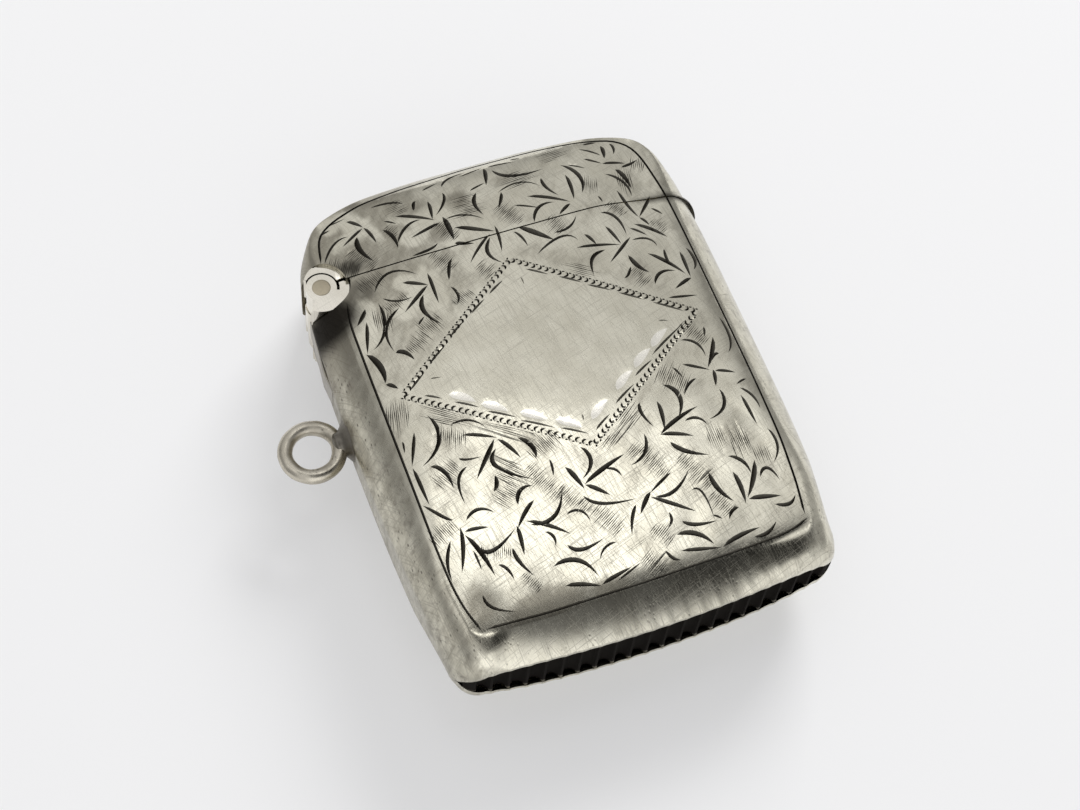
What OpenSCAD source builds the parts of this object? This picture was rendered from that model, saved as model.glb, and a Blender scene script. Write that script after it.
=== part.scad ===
// Vesta case: a pocket match case in silver, lying on its back.
// X runs across the case to the thumb lip, Y runs up to the lid, Z runs out of the engraved front.
// The origin is the middle of the worn flat on the back.

/* [Case] */
// Width across the sides
case_w = 34.2; // [31:0.2:38]
// From the origin down to the middle of the striker base
base_reach = 22.95; // [20:0.05:26]
// From the origin up to the middle of the lid's top
top_reach = 21.7; // [20:0.05:24]
// Thickness from crown to crown, before wear
crown_t = 11.1; // [9.6:0.1:13]
// Depth worn off the back where the case rests
wear = 0.12; // [0.06:0.01:0.2]
// Thickness of the silver sheet
wall = 0.6; // [0.4:0.05:0.8]
// How far the sides bow out
side_bow = 0.5; // [0.3:0.05:0.8]
// How far the top bows out
top_bow = 1.2; // [0.6:0.05:1.4]
// How far the base bows out
base_bow = 0.9; // [0.5:0.05:1.2]
// Corner radius at the top
top_corner_r = 8; // [5:0.1:9]
// Corner radius at the base
base_corner_r = 3.2; // [2.4:0.1:4.5]
// Distance from the side to the engraved border
border_in = 2.9; // [2.4:0.1:3.4]
// Drop of the front from its middle to the side border
crown_x = 0.4; // [0.25:0.01:0.6]
// Drop of the front from its middle to the base border
crown_y = 1.3; // [1:0.05:1.6]
// Radius of the rolled sides
side_roll_r = 5.5; // [4.9:0.1:6]
// Radius of the rolled top
top_roll_r = 4.6; // [4:0.1:5.2]
// Radius of the shoulder above the base
shoulder_r = 13.8; // [10:0.2:18]
// Height of the shoulder above the base
shoulder_h = 3.2; // [2.6:0.1:4]
// Height of the flat base face, front to back
base_face_t = 6.3; // [5:0.1:7]
// Radius of the roll that thins the base corners
corner_roll_r = 5.5; // [5:0.1:6]
// Reach of that roll from the origin
corner_reach = 26.3; // [25.8:0.1:28]

/* [Lid] */
// Height of the lid's edge above the origin
seam_y = 12.65; // [11:0.05:14]
// Gap between the lid and the body when shut
seam_gap = 0.12; // [0.08:0.01:0.2]
// How far the thumb lip stands out from the lid
lip_reach = 0.8; // [0.5:0.05:1.1]
// Height of the thumb lip along the case
lip_h = 0.8; // [0.5:0.05:1.2]
// Radius of the thumb lip's outer edge
lip_r = 5.2; // [4.6:0.1:5.6]
// Length of the thumb lip round the side
lip_span = 8; // [5:0.1:8.2]

/* [Engraving] */
// Depth of the engraved cuts
cut_depth = 0.14; // [0.08:0.01:0.2]
// Width of the line round the engraved panel
line_w = 0.2; // [0.14:0.01:0.3]
// Distance from the origin up to the line at the lid's top
line_top = 20.4; // [18.6:0.05:20.8]
// Radius of the line's arc at the lid's top
line_top_r = 70; // [50:1:120]
// Corner radius of the line
line_corner_r = 2.3; // [1:0.1:4]
// Half the length of the plain diamond
diamond_l = 12.4; // [9:0.1:13]
// Half the height of the plain diamond
diamond_h = 8.95; // [6:0.05:9.5]
// Height of the diamond's middle above the origin
diamond_y = 0.9; // [-1:0.05:2]
// Width of the diamond's roped edge
rope_w = 0.5; // [0.3:0.05:0.8]
// Length of a leaf cut
leaf_l = 2.6; // [1.8:0.1:3.2]
// Width of a leaf cut at its middle
leaf_w = 0.34; // [0.2:0.01:0.5]

/* [Mouth collar] */
// Thickness of the collar
collar_t = 0.45; // [0.35:0.05:0.6]
// Depth of the collar inside the body
collar_depth = 3; // [2:0.1:5]
// Rise of the collar into the lid
collar_rise = 1.6; // [1:0.1:2.4]
// Gap between the collar and the lid
collar_gap = 0.15; // [0.1:0.01:0.3]
// Distance from the hinge axis to the ends of the collar
collar_clear = 3.2; // [2.9:0.1:5]

/* [Hinge] */
// Distance from the side of the case to the hinge axis
hinge_inset = 1.75; // [1.65:0.01:1.9]
// Height of the hinge axis above the lid's edge
hinge_rise = 0.12; // [0.06:0.01:0.2]
// Length of the hinge
hinge_l = 8.3; // [7:0.1:9]
// Length of the lid's knuckle
lid_knuckle_l = 2.6; // [2:0.1:3.2]
// Gap between knuckles
knuckle_gap = 0.12; // [0.08:0.01:0.2]
// Diameter of the hinge pin
pin_d = 1.58; // [1.2:0.02:1.7]
// Running clearance round the pin, on the radius
pin_clear = 0.04; // [0.02:0.01:0.08]
// Seating clearance of soldered hinge pieces
seat = 0.01; // [0.005:0.005:0.02]
// Diameter of the body's knuckles
knuckle_d = 2.5; // [2.3:0.05:2.6]
// Diameter of the lid's knuckle
lid_knuckle_d = 2.74; // [2.6:0.02:2.8]
// Outer radius of the lid's bearer
lid_bearer_r = 2.05; // [1.9:0.05:2.2]
// Outer radius of the body's bearer
body_bearer_r = 2.35; // [2.2:0.05:2.5]
// Angle where the lid's bearer starts
lid_bearer_from = 10; // [8:1:14]
// Angle where the lid's bearer ends
lid_bearer_to = 135; // [125:1:138]
// Angle where the body's bearer starts
body_bearer_from = -130; // [-134:1:-110]
// Angle where the lid's bearer ends beside the spring
lid_bearer_short = 112; // [100:1:120]
// Angle where the body's bearer ends
body_bearer_to = 2; // [-4:1:4]
// Depth of the cam flats on the lid's knuckle
cam_flat = 0.14; // [0.08:0.01:0.2]
// Angle that the lid swings open
lid_swing = 90; // [60:1:90]
// Drop from the hinge axis to the top of the body's side wall
wall_drop = 1.5; // [1.45:0.05:2]

/* [Spring] */
// Thickness of the spring leaf
spring_t = 0.38; // [0.3:0.02:0.5]
// Width of the spring leaf
spring_w = 2.3; // [1.8:0.1:2.6]
// Height of the spring's foot above the origin
spring_y = 4.9; // [3:0.1:6]
// Length of the spring's soldered foot
spring_foot = 1.5; // [1:0.1:2]
// Gap between the spring and its slot
spring_gap = 0.15; // [0.1:0.01:0.25]
// Angle from the hinge axis to the spring's tip
tip_angle = 222; // [216:1:226]
// Gap between the spring's tip and the lid's knuckle
tip_gap = 0.16; // [0.12:0.01:0.3]

/* [Striker] */
// Thickness of the base at its ends
striker_t = 0.9; // [0.7:0.05:1.4]
// Spacing of the striking grooves
groove_pitch = 1.4; // [1:0.05:2]
// Diameter of the cutter that makes a groove
groove_d = 1.1; // [0.8:0.05:1.4]
// Depth of a groove
groove_depth = 0.5; // [0.3:0.05:0.6]
// Distance from the last groove to the side of the case
groove_margin = 1.5; // [1.2:0.1:3]

/* [Ring] */
// Diameter of the ring, at the middle of its wire
ring_d = 4.4; // [3.8:0.1:6]
// Thickness of the ring's wire
ring_wire = 1.16; // [0.9:0.02:1.4]
// Height of the ring above the origin
ring_y = 0.9; // [-4:0.1:3]
// Gap between the ring and the side of the case
ring_gap = 0.2; // [0.1:0.02:0.4]
// Diameter of the solder against the case
solder_foot_d = 3.8; // [3:0.1:4.6]
// Diameter of the solder round the ring
solder_neck_d = 2.3; // [1.9:0.1:2.8]
// Height of the solder off the side of the case
solder_h = 0.95; // [0.7:0.05:1.1]

/* [Hidden] */
$fn = 96;

silver = [0.72, 0.7, 0.64];
dull_silver = [0.6, 0.58, 0.53];
soot = [0.2, 0.19, 0.18];
brassy = [0.66, 0.6, 0.46];

half_w = case_w / 2;
mid_z = crown_t / 2 - wear;
far = 4 * (base_reach + top_reach);
body_edge = seam_y - seam_gap / 2;
lid_edge = seam_y + seam_gap / 2;

// Radius of the arc that rises by bow over half a chord
function bow_r(half_chord, bow) = (half_chord * half_chord + bow * bow) / (2 * bow);

side_r = bow_r((base_reach + top_reach) / 2 - top_corner_r, side_bow);
// Half the width of the bowed case at a height
function side_x(y) = half_w - side_r + sqrt(side_r * side_r - y * y);
top_r = bow_r(half_w - top_corner_r, top_bow);
base_r = bow_r(half_w - base_corner_r, base_bow);
crown_x_r = bow_r(half_w - border_in, crown_x);
crown_y_r = bow_r(base_reach - shoulder_h, crown_y);

// Corner discs stand a little out of the bowed edges, so that the arcs cross
corner_lap = 0.7;
top_corner = [half_w - corner_lap * side_bow - top_corner_r, top_reach - corner_lap * top_bow - top_corner_r];
base_corner = [half_w - corner_lap * side_bow - base_corner_r, -base_reach + corner_lap * base_bow + base_corner_r];

// The rolled edges reach past the plan outline, which cuts them
roll_over = 0.2;
side_roll_x = half_w + roll_over - side_roll_r;
top_roll_y = top_reach + roll_over - top_roll_r;

// The shoulder arc runs from the border to the rim of the base
shoulder_top = [shoulder_h - base_reach, crown_t / 2 - crown_y];
shoulder_rim = [-base_reach, base_face_t / 2];
shoulder_run = shoulder_top - shoulder_rim;
shoulder_sink = sqrt(shoulder_r * shoulder_r - shoulder_run * shoulder_run / 4);
shoulder_c = (shoulder_top + shoulder_rim) / 2
  + [shoulder_run.y, -shoulder_run.x] / norm(shoulder_run) * shoulder_sink;
shoulder_lap = 0.5;

hinge = [hinge_inset - half_w, seam_y + hinge_rise];
knuckle_r = knuckle_d / 2;
lid_knuckle_r = lid_knuckle_d / 2;
pin_r = pin_d / 2;
hinge_z0 = mid_z - hinge_l / 2;
hinge_z1 = mid_z + hinge_l / 2;
lid_z0 = mid_z - lid_knuckle_l / 2;
lid_z1 = mid_z + lid_knuckle_l / 2;
bearer_proud = 0.12;

// The spring's foot lies on the side and its leaf leans in to the lid's knuckle
spring_x = -side_x(spring_y) - seat;
spring_bend_y = spring_y + spring_foot;
tip_r = lid_knuckle_r + tip_gap;
spring_tip = hinge + tip_r * [cos(tip_angle), sin(tip_angle)];

// Sprigs of three leaf cuts: place, and the way the middle leaf points
sprigs = [
  [-10.4, 16.9, -70], [-4.6, 15.6, 150], [0.5, 14.6, 90], [6.7, 13.9, 100], [11, 15.6, 100],
  [-12.9, 6.4, -60], [-7.2, 9.7, -90], [8.9, 8.3, 125], [11, 9.6, 50], [13, 3.7, 130],
  [-11.9, -4.6, -62], [-7.1, -5, -100], [5.4, -8.8, 20], [10.6, -5, 60],
  [-11.2, -11.4, -80], [-6.6, -13.2, -60], [-1.9, -11, 110], [2.7, -13.2, -40],
  [11.6, -10.4, 110], [9.8, -16, 75], [-1.2, -16.2, -150]
];
line_corner_x = half_w - border_in - line_corner_r - pow(line_top - line_corner_r, 2) / (2 * side_r);
line_corner = [line_corner_x, line_top - line_corner_r - pow(line_corner_x, 2) / (2 * line_top_r)];
leaf_start = 0.25;
leaf_spread = 58;

base_plane = base_bow + striker_t - base_reach;
groove_n = floor((half_w - groove_margin) / groove_pitch);
ring_x = -(half_w + ring_gap + (ring_d + ring_wire) / 2);

// The thumb lip is a crescent on the side, as wide as the case is at the lid's edge
lip_seat_x = side_x(seam_y);
lip_x = lip_seat_x + lip_reach - lip_r;

module over(y) { translate([-far / 2, y]) square([far, far]); }
module under(y) { translate([-far / 2, y - far]) square([far, far]); }
module slab(y0, y1) { translate([-far / 2, y0, -far / 2]) cube([far, y1 - y0, far]); }
module front_half() { translate([-far / 2, -far / 2, mid_z]) cube([far, far, far]); }
module back_half() { translate([-far / 2, -far / 2, mid_z - far]) cube([far, far, far]); }

module big_disc(c, r) { translate(c) circle(r, $fn = 240); }

// A pair of rounded corners, with all the rest of the plane beside and behind them
module corners(at, r) {
  for (s = [-1, 1]) translate([s * at.x, at.y]) circle(r);
  translate([-at.x, -far / 2]) square([2 * at.x, far]);
}

module plan_outline(inset) {
  intersection() {
    big_disc([side_r - half_w, 0], side_r - inset);
    big_disc([half_w - side_r, 0], side_r - inset);
    big_disc([0, top_reach - top_r], top_r - inset);
    big_disc([0, base_r - base_reach], base_r - inset);
    union() {
      corners(top_corner, top_corner_r - inset);
      under(top_corner.y);
    }
    union() {
      corners(base_corner, base_corner_r - inset);
      over(base_corner.y);
    }
  }
}

module cross_section(inset) {
  square([2 * side_roll_x, far], center = true);
  for (s = [-1, 1]) translate([s * side_roll_x, 0]) circle(side_roll_r - inset);
}

module shoulder(side, inset) {
  big_disc([shoulder_c.x, side * shoulder_c.y], shoulder_r - inset);
  translate([shoulder_top.x + shoulder_lap, -far / 2]) square([far, far]);
}

module long_section(inset) {
  intersection() {
    shoulder(1, inset);
    shoulder(-1, inset);
    union() {
      translate([top_roll_y - far, -far / 2]) square([far, far]);
      translate([top_roll_y, 0]) circle(top_roll_r - inset);
    }
  }
}

// The front and back crowns, bowed both ways about an axis across the case
module crown(side, inset) {
  translate([0, 0, mid_z + side * (crown_t / 2 - crown_y_r)]) rotate([0, 90, 0]) rotate_extrude() intersection() {
    big_disc([crown_y_r - crown_x_r, 0], crown_x_r - inset);
    translate([0, -far / 2]) square([crown_y_r, far]);
  }
}

// A round pillow that thins the far corners
module corner_roll(inset) {
  translate([0, 0, mid_z]) rotate_extrude() intersection() {
    union() {
      square([2 * (corner_reach - corner_roll_r), far], center = true);
      translate([corner_reach - corner_roll_r, 0]) circle(corner_roll_r - inset);
    }
    translate([0, -far / 2]) square([far, far]);
  }
}

// The closed cushion of the whole case, set in by the given depth
module cushion(inset) {
  intersection() {
    translate([0, 0, mid_z - crown_t]) linear_extrude(2 * crown_t) plan_outline(inset);
    translate([0, 0, mid_z]) rotate([90, 0, 0]) linear_extrude(far, center = true) cross_section(inset);
    translate([0, 0, mid_z]) rotate([90, 0, 90]) linear_extrude(far, center = true) long_section(inset);
    corner_roll(inset);
    crown(1, inset);
    crown(-1, inset);
    translate([-far / 2, -far / 2, inset]) cube([far, far, far]);
  }
}

module skin() {
  difference() {
    cushion(0);
    cushion(wall);
  }
}

module on_hinge(z0, z1) { translate([hinge.x, hinge.y, z0]) linear_extrude(z1 - z0) children(); }
module through_hinge(r) { on_hinge(-far / 2, far / 2) circle(r); }

// A wedge of the plane about the hinge axis, counted anticlockwise
module sector(a0, a1) {
  am = (a0 + a1) / 2;
  polygon([[0, 0], for (a = [a0, (a0 + am) / 2, am, (am + a1) / 2, a1]) far * [cos(a), sin(a)]]);
}

module ring_sector(r0, r1, a0, a1) {
  intersection() {
    difference() {
      circle(r1);
      circle(r0);
    }
    sector(a0, a1);
  }
}

// The slot in the side that the spring leans through
module spring_slot() {
  slot_w = spring_w + 2 * spring_gap;
  translate([-far, spring_bend_y - spring_gap, mid_z - slot_w / 2])
    cube([far + spring_tip.x + spring_t + spring_gap, hinge.y - spring_bend_y, slot_w]);
}

module body_skin() {
  difference() {
    intersection() {
      skin();
      slab(base_plane, body_edge);
    }
    through_hinge(body_bearer_r + seat);
    translate([hinge.x - far, hinge.y - wall_drop, -far / 2]) cube([far, far, far]);
    spring_slot();
  }
}

module lid_skin() {
  difference() {
    intersection() {
      skin();
      slab(lid_edge, far);
    }
    through_hinge(lid_bearer_r + seat);
  }
}

module panel_outline(inset) {
  intersection() {
    big_disc([side_r - half_w, 0], side_r - border_in - inset);
    big_disc([half_w - side_r, 0], side_r - border_in - inset);
    big_disc([0, line_top - line_top_r], line_top_r - inset);
    over(shoulder_top.x + inset);
    union() {
      corners(line_corner, line_corner_r - inset);
      under(line_corner.y);
    }
  }
}

module diamond(inset) {
  reach = diamond_l * diamond_h / norm([diamond_l, diamond_h]);
  k = 1 - inset / reach;
  translate([0, diamond_y])
    polygon(k * [[-diamond_l, 0], [0, -diamond_h], [diamond_l, 0], [0, diamond_h]]);
}

// A graver cut, pointed at both ends
module leaf_cut() {
  r = (leaf_l * leaf_l + leaf_w * leaf_w) / (4 * leaf_w);
  translate([leaf_start + leaf_l / 2, 0]) intersection() {
    translate([0, r - leaf_w / 2]) circle(r);
    translate([0, leaf_w / 2 - r]) circle(r);
  }
}

module sprig() {
  for (a = [-leaf_spread, 0, leaf_spread]) rotate(a) leaf_cut();
}

// Cuts of the engraved front: its border line, the diamond's edge and the leaf sprigs
module engraving() {
  difference() {
    translate([0, 0, mid_z]) linear_extrude(far) {
      difference() {
        panel_outline(0);
        panel_outline(line_w);
      }
      difference() {
        diamond(-rope_w / 2);
        diamond(rope_w / 2);
      }
      for (p = sprigs) translate([p.x, p.y]) rotate(p.z) sprig();
    }
    cushion(cut_depth);
  }
}

// Body halves, soldered along the sides
module body_front() {
  color(silver) difference() {
    intersection() {
      body_skin();
      front_half();
    }
    engraving();
  }
}

module body_back() {
  color(silver) intersection() {
    body_skin();
    back_half();
  }
}

// Base with its row of striking grooves
module striker_base() {
  color(soot) difference() {
    intersection() {
      cushion(0);
      slab(-far, base_plane);
    }
    for (k = [-groove_n:groove_n]) {
      x = k * groove_pitch;
      y = x * x / (2 * base_r) - base_reach + groove_depth - groove_d / 2;
      translate([x, y, -crown_t]) cylinder(d = groove_d, h = 3 * crown_t);
    }
  }
}

// Collar inside the mouth, which steadies the shut lid
module mouth_collar() {
  color(dull_silver) intersection() {
    difference() {
      union() {
        intersection() {
          cushion(wall + seat);
          slab(body_edge - collar_depth, body_edge);
        }
        intersection() {
          cushion(wall + collar_gap);
          slab(body_edge, seam_y + collar_rise);
        }
      }
      cushion(wall + collar_t);
    }
    translate([hinge.x + collar_clear, -far / 2, -far / 2]) cube([far, far, far]);
  }
}

module lid_front() {
  color(silver) difference() {
    intersection() {
      lid_skin();
      front_half();
    }
    engraving();
  }
}

module lid_back() {
  color(silver) intersection() {
    lid_skin();
    back_half();
  }
}

module thumb_lip() {
  color(silver) translate([0, lid_edge + lip_h, mid_z]) rotate([90, 0, 0]) linear_extrude(lip_h)
    difference() {
      intersection() {
        translate([lip_x, 0]) circle(lip_r);
        translate([lip_x, -lip_span / 2]) square([far, lip_span]);
      }
      intersection() {
        translate([side_roll_x, 0]) circle(side_roll_r + seat);
        translate([-far, -far / 2]) square([far + lip_seat_x + seat, far]);
      }
    }
}

// Bearer on the body, a block curled under the knuckles
module body_bearer() {
  color(silver) difference() {
    on_hinge(hinge_z0, hinge_z1)
      ring_sector(knuckle_r + seat, body_bearer_r, body_bearer_from, body_bearer_to);
    on_hinge(lid_z0 - knuckle_gap, lid_z1 + knuckle_gap) circle(lid_knuckle_r + knuckle_gap);
    spring_slot();
  }
}

module tube(z0, z1, r, bore) {
  on_hinge(z0, z1) difference() {
    circle(r);
    circle(bore);
  }
}

module front_knuckle() {
  color(silver) tube(lid_z1 + knuckle_gap, hinge_z1, knuckle_r, pin_r + seat);
}

module back_knuckle() {
  color(silver) tube(hinge_z0, lid_z0 - knuckle_gap, knuckle_r, pin_r + seat);
}

// Bearer on the lid, an arc over all three knuckles
module lid_bearer() {
  color(silver) intersection() {
    difference() {
      on_hinge(hinge_z0, hinge_z1)
        ring_sector(lid_knuckle_r + seat, lid_bearer_r, lid_bearer_from, lid_bearer_to);
      on_hinge(lid_z0 - knuckle_gap, lid_z1 + knuckle_gap) sector(lid_bearer_short, 180);
    }
    cushion(-bearer_proud);
  }
}

// Lid's knuckle, with a flat for the spring when shut and another when open
module lid_knuckle() {
  color(silver) difference() {
    tube(lid_z0, lid_z1, lid_knuckle_r, pin_r + pin_clear);
    for (a = [tip_angle, tip_angle - lid_swing])
      translate([hinge.x, hinge.y, -far / 2]) rotate(a)
        translate([lid_knuckle_r - cam_flat, -lid_knuckle_r, 0]) cube([lid_knuckle_r, lid_knuckle_d, far]);
  }
}

module hinge_pin() {
  color(brassy) on_hinge(hinge_z0, hinge_z1) circle(pin_r);
}

// Leaf spring on the side, pressing on the lid's knuckle
module side_spring() {
  color(dull_silver) translate([0, 0, mid_z - spring_w / 2]) linear_extrude(spring_w) polygon([
    [spring_x, spring_y],
    [spring_x, spring_bend_y],
    spring_tip,
    spring_tip - [spring_t, 0],
    [spring_x - spring_t, spring_bend_y],
    [spring_x - spring_t, spring_y]
  ]);
}

module ring_wire_loop(wire) {
  translate([ring_x, ring_y, mid_z]) rotate_extrude() translate([ring_d / 2, 0]) circle(d = wire, $fn = 48);
}

module suspension_ring() {
  color(dull_silver) ring_wire_loop(ring_wire);
}

// Solder that holds the ring to the side
module ring_solder() {
  color(dull_silver) difference() {
    translate([-half_w - seat, ring_y, mid_z]) rotate([0, -90, 0])
      cylinder(d1 = solder_foot_d, d2 = solder_neck_d, h = solder_h);
    ring_wire_loop(ring_wire + 2 * seat);
  }
}

body_front();
body_back();
striker_base();
mouth_collar();
lid_front();
lid_back();
thumb_lip();
body_bearer();
front_knuckle();
back_knuckle();
lid_bearer();
lid_knuckle();
hinge_pin();
side_spring();
suspension_ring();
ring_solder();
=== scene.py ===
import math
import random

import bmesh
import bpy
from mathutils import Matrix, Vector, noise
from mathutils.geometry import delaunay_2d_cdt


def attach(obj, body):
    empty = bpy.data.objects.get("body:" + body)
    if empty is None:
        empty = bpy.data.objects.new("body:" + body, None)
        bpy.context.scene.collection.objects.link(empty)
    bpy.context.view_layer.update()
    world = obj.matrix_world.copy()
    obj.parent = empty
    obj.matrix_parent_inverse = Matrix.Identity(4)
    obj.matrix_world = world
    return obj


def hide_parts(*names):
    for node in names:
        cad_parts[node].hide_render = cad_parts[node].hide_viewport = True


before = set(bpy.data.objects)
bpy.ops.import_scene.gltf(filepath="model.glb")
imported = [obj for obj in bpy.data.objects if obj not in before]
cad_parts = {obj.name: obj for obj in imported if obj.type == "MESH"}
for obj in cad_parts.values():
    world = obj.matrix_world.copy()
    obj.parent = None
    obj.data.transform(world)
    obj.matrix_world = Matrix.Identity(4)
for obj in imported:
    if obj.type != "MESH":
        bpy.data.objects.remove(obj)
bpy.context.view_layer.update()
mm = 0.001
print("frame loaded", len(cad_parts), "nodes")

# the cushion form of the case, all in millimetres
case = {
    "halfWidth": 17.1, "sideArc": 205.0,
    "baseReach": 22.95, "baseArc": 107.8,
    "topReach": 21.695, "topArc": 35.1, "topCorner": (8.75, 12.86, 8.0),
    "mid": 5.43, "crown": 5.55, "dropX": 0.30 / 13 ** 2, "dropY": 1.29 / 20 ** 2,
    "sideRoll": 5.5, "sideRollAt": 11.8, "topRoll": 4.6, "topRollAt": 17.3,
    "crease": 0.3, "wall": 0.6, "wallTop": 2.2, "wallEase": 0.5, "brow": 0.024, "browFrom": 17.8,
    "bodyEdge": 12.59, "lidEdge": 12.71,
    "hinge": (-15.35, 12.77), "bodyNotch": 2.36, "lidNotch": 2.06,
    "slotFrom": 6.25, "slotEase": 0.1, "slotHalf": 1.3,
    "dip": 0.85, "dipFrom": 7.5, "dipTo": 15.5, "dipFade": 4.5,
}
# the open rim of the base, a lens seen end on
rim = {"height": 2.6, "halfLength": 15.8, "power": 5.0, "round": 0.14, "edge": 0.3, "bend": 0.74,
       "cornerBulge": 1.9, "share": (0.28, 0.08), "inner": 0.05, "pitch": 1.4, "frontNick": 0.04,
       "backNick": 0.06, "nickEnds": (14.6, 15.4), "nickShare": 0.8}


def sideX(y):
    return case["halfWidth"] - case["sideArc"] + math.sqrt(case["sideArc"] ** 2 - y * y)


def baseY(x):
    return x * x / (2 * case["baseArc"]) - case["baseReach"]


def topY(x):
    return case["topReach"] - case["topArc"] + math.sqrt(case["topArc"] ** 2 - x * x)


def lens(x):
    return rim["height"] * math.sqrt(max(0.0, 1 - min(abs(x) / rim["halfLength"], 1) ** rim["power"]))


# the seam sinks a little towards the thumb side
def seamDip(x, y):
    away = abs(y - (case["bodyEdge"] + case["lidEdge"]) / 2)
    return case["dip"] * smooth(case["dipFrom"], case["dipTo"], x) * (1 - smooth(0.0, case["dipFade"], away))


def mixed(a, b, t):
    return a + (b - a) * t


def smooth(a, b, v):
    t = min(max((v - a) / (b - a), 0.0), 1.0)
    return t * t * (3 - 2 * t)


def softMin(a, b, k):
    gap = max(k - abs(a - b), 0.0)
    return min(a, b) - gap * gap / (4 * k)


def rollHeight(radius, over):
    return math.sqrt(max(radius * radius - over * over, 0.0)) if over > 0 else 99.0


def height(x, y, inset=0.0):
    h = case["crown"] - case["dropX"] * x * x - case["dropY"] * y * y - inset
    h -= case["brow"] * max(-y - case["browFrom"], 0.0) ** 2
    h = softMin(h, rollHeight(case["sideRoll"] - inset, abs(x) - case["sideRollAt"]), case["crease"])
    return softMin(h, rollHeight(case["topRoll"] - inset, y - case["topRollAt"]), case["crease"])


def newObject(name, bm, body, slotName, nodes, smoothAngle):
    bmesh.ops.recalc_face_normals(bm, faces=bm.faces)
    for v in bm.verts:
        v.co *= mm
    mesh = bpy.data.meshes.new(name)
    bm.to_mesh(mesh)
    bm.free()
    mesh.shade_smooth()
    mesh.set_sharp_from_angle(angle=math.radians(smoothAngle))
    piece = bpy.data.objects.new(name, mesh)
    bpy.context.scene.collection.objects.link(piece)
    mesh.materials.append(metals[slotName])
    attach(piece, body)
    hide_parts(*nodes)
    print("made", name, len(mesh.polygons), "faces")


# shader bench: sums on sockets are written as plain sums
class Wire:
    def __init__(self, tree, socket):
        self.tree = tree
        self.socket = socket

    @staticmethod
    def node(tree, kind, settings=None, sockets=None, out=0):
        made = tree.nodes.new(kind)
        for key, value in (settings or {}).items():
            if key == "stops":
                ramp = made.color_ramp
                while len(ramp.elements) < len(value):
                    ramp.elements.new(0.5)
                for stop, (place, colour) in zip(ramp.elements, value):
                    stop.position = place
                    stop.color = colour
            else:
                setattr(made, key, value)
        for key, value in (sockets or {}).items():
            if isinstance(key, int):
                target = made.inputs[key]
            else:
                target = next((s for s in made.inputs if s.identifier == key), None) or made.inputs[key]
            if isinstance(value, Wire):
                tree.links.new(value.socket, target)
            else:
                target.default_value = value
        return Wire(tree, made.outputs[out] if made.outputs else None)

    def sum(self, operation, other, flip=False, clamp=False):
        pair = (other, self) if flip else (self, other)
        settings = {"operation": operation, "use_clamp": clamp}
        return Wire.node(self.tree, "ShaderNodeMath", settings, {0: pair[0], 1: pair[1]})

    def __add__(self, other):
        return self.sum("ADD", other)

    def __radd__(self, other):
        return self.sum("ADD", other, True)

    def __sub__(self, other):
        return self.sum("SUBTRACT", other)

    def __rsub__(self, other):
        return self.sum("SUBTRACT", other, True)

    def __mul__(self, other):
        return self.sum("MULTIPLY", other)

    def __rmul__(self, other):
        return self.sum("MULTIPLY", other, True)

    def clamped(self):
        return self.sum("MULTIPLY", 1.0, clamp=True)

    def between(self, low, high):
        return Wire.node(self.tree, "ShaderNodeMapRange", {"interpolation_type": "SMOOTHSTEP"},
                         {0: self, 1: low, 2: high, 3: 0.0, 4: 1.0})

    def tint(self, colourA, colourB):
        return Wire.node(self.tree, "ShaderNodeMix", {"data_type": "RGBA"},
                         {"Factor_Float": self, "A_Color": colourA, "B_Color": colourB}, 2)


def rgb(r, g, b):
    return (r, g, b, 1.0)


def freshTree(name):
    material = bpy.data.materials.new(name)
    material.use_nodes = True
    tree = material.node_tree
    tree.nodes.clear()
    return material, tree


def inMillimetres(tree):
    place = Wire.node(tree, "ShaderNodeTexCoord", out=3)
    return Wire.node(tree, "ShaderNodeVectorMath", {"operation": "SCALE"}, {0: place, "Scale": 1000.0})


def mottle(tree, place, scale, detail=3.0, rough=0.55):
    return Wire.node(tree, "ShaderNodeTexNoise", None,
                     {"Vector": place, "Scale": scale, "Detail": detail, "Roughness": rough})


def stretched(tree, place, angle, scale):
    turned = Wire.node(tree, "ShaderNodeMapping", None,
                       {"Vector": place, "Rotation": (0, 0, math.radians(-angle))})
    return Wire.node(tree, "ShaderNodeVectorMath", {"operation": "MULTIPLY"}, {0: turned, 1: scale})


# fine handling scratches: noise drawn out along one direction
def hairlines(tree, place, angle, width, low, high):
    return mottle(tree, stretched(tree, place, angle, (0.3, width, 0.3)), 1.0, 0.0, 0.4).between(low, high)


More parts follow.
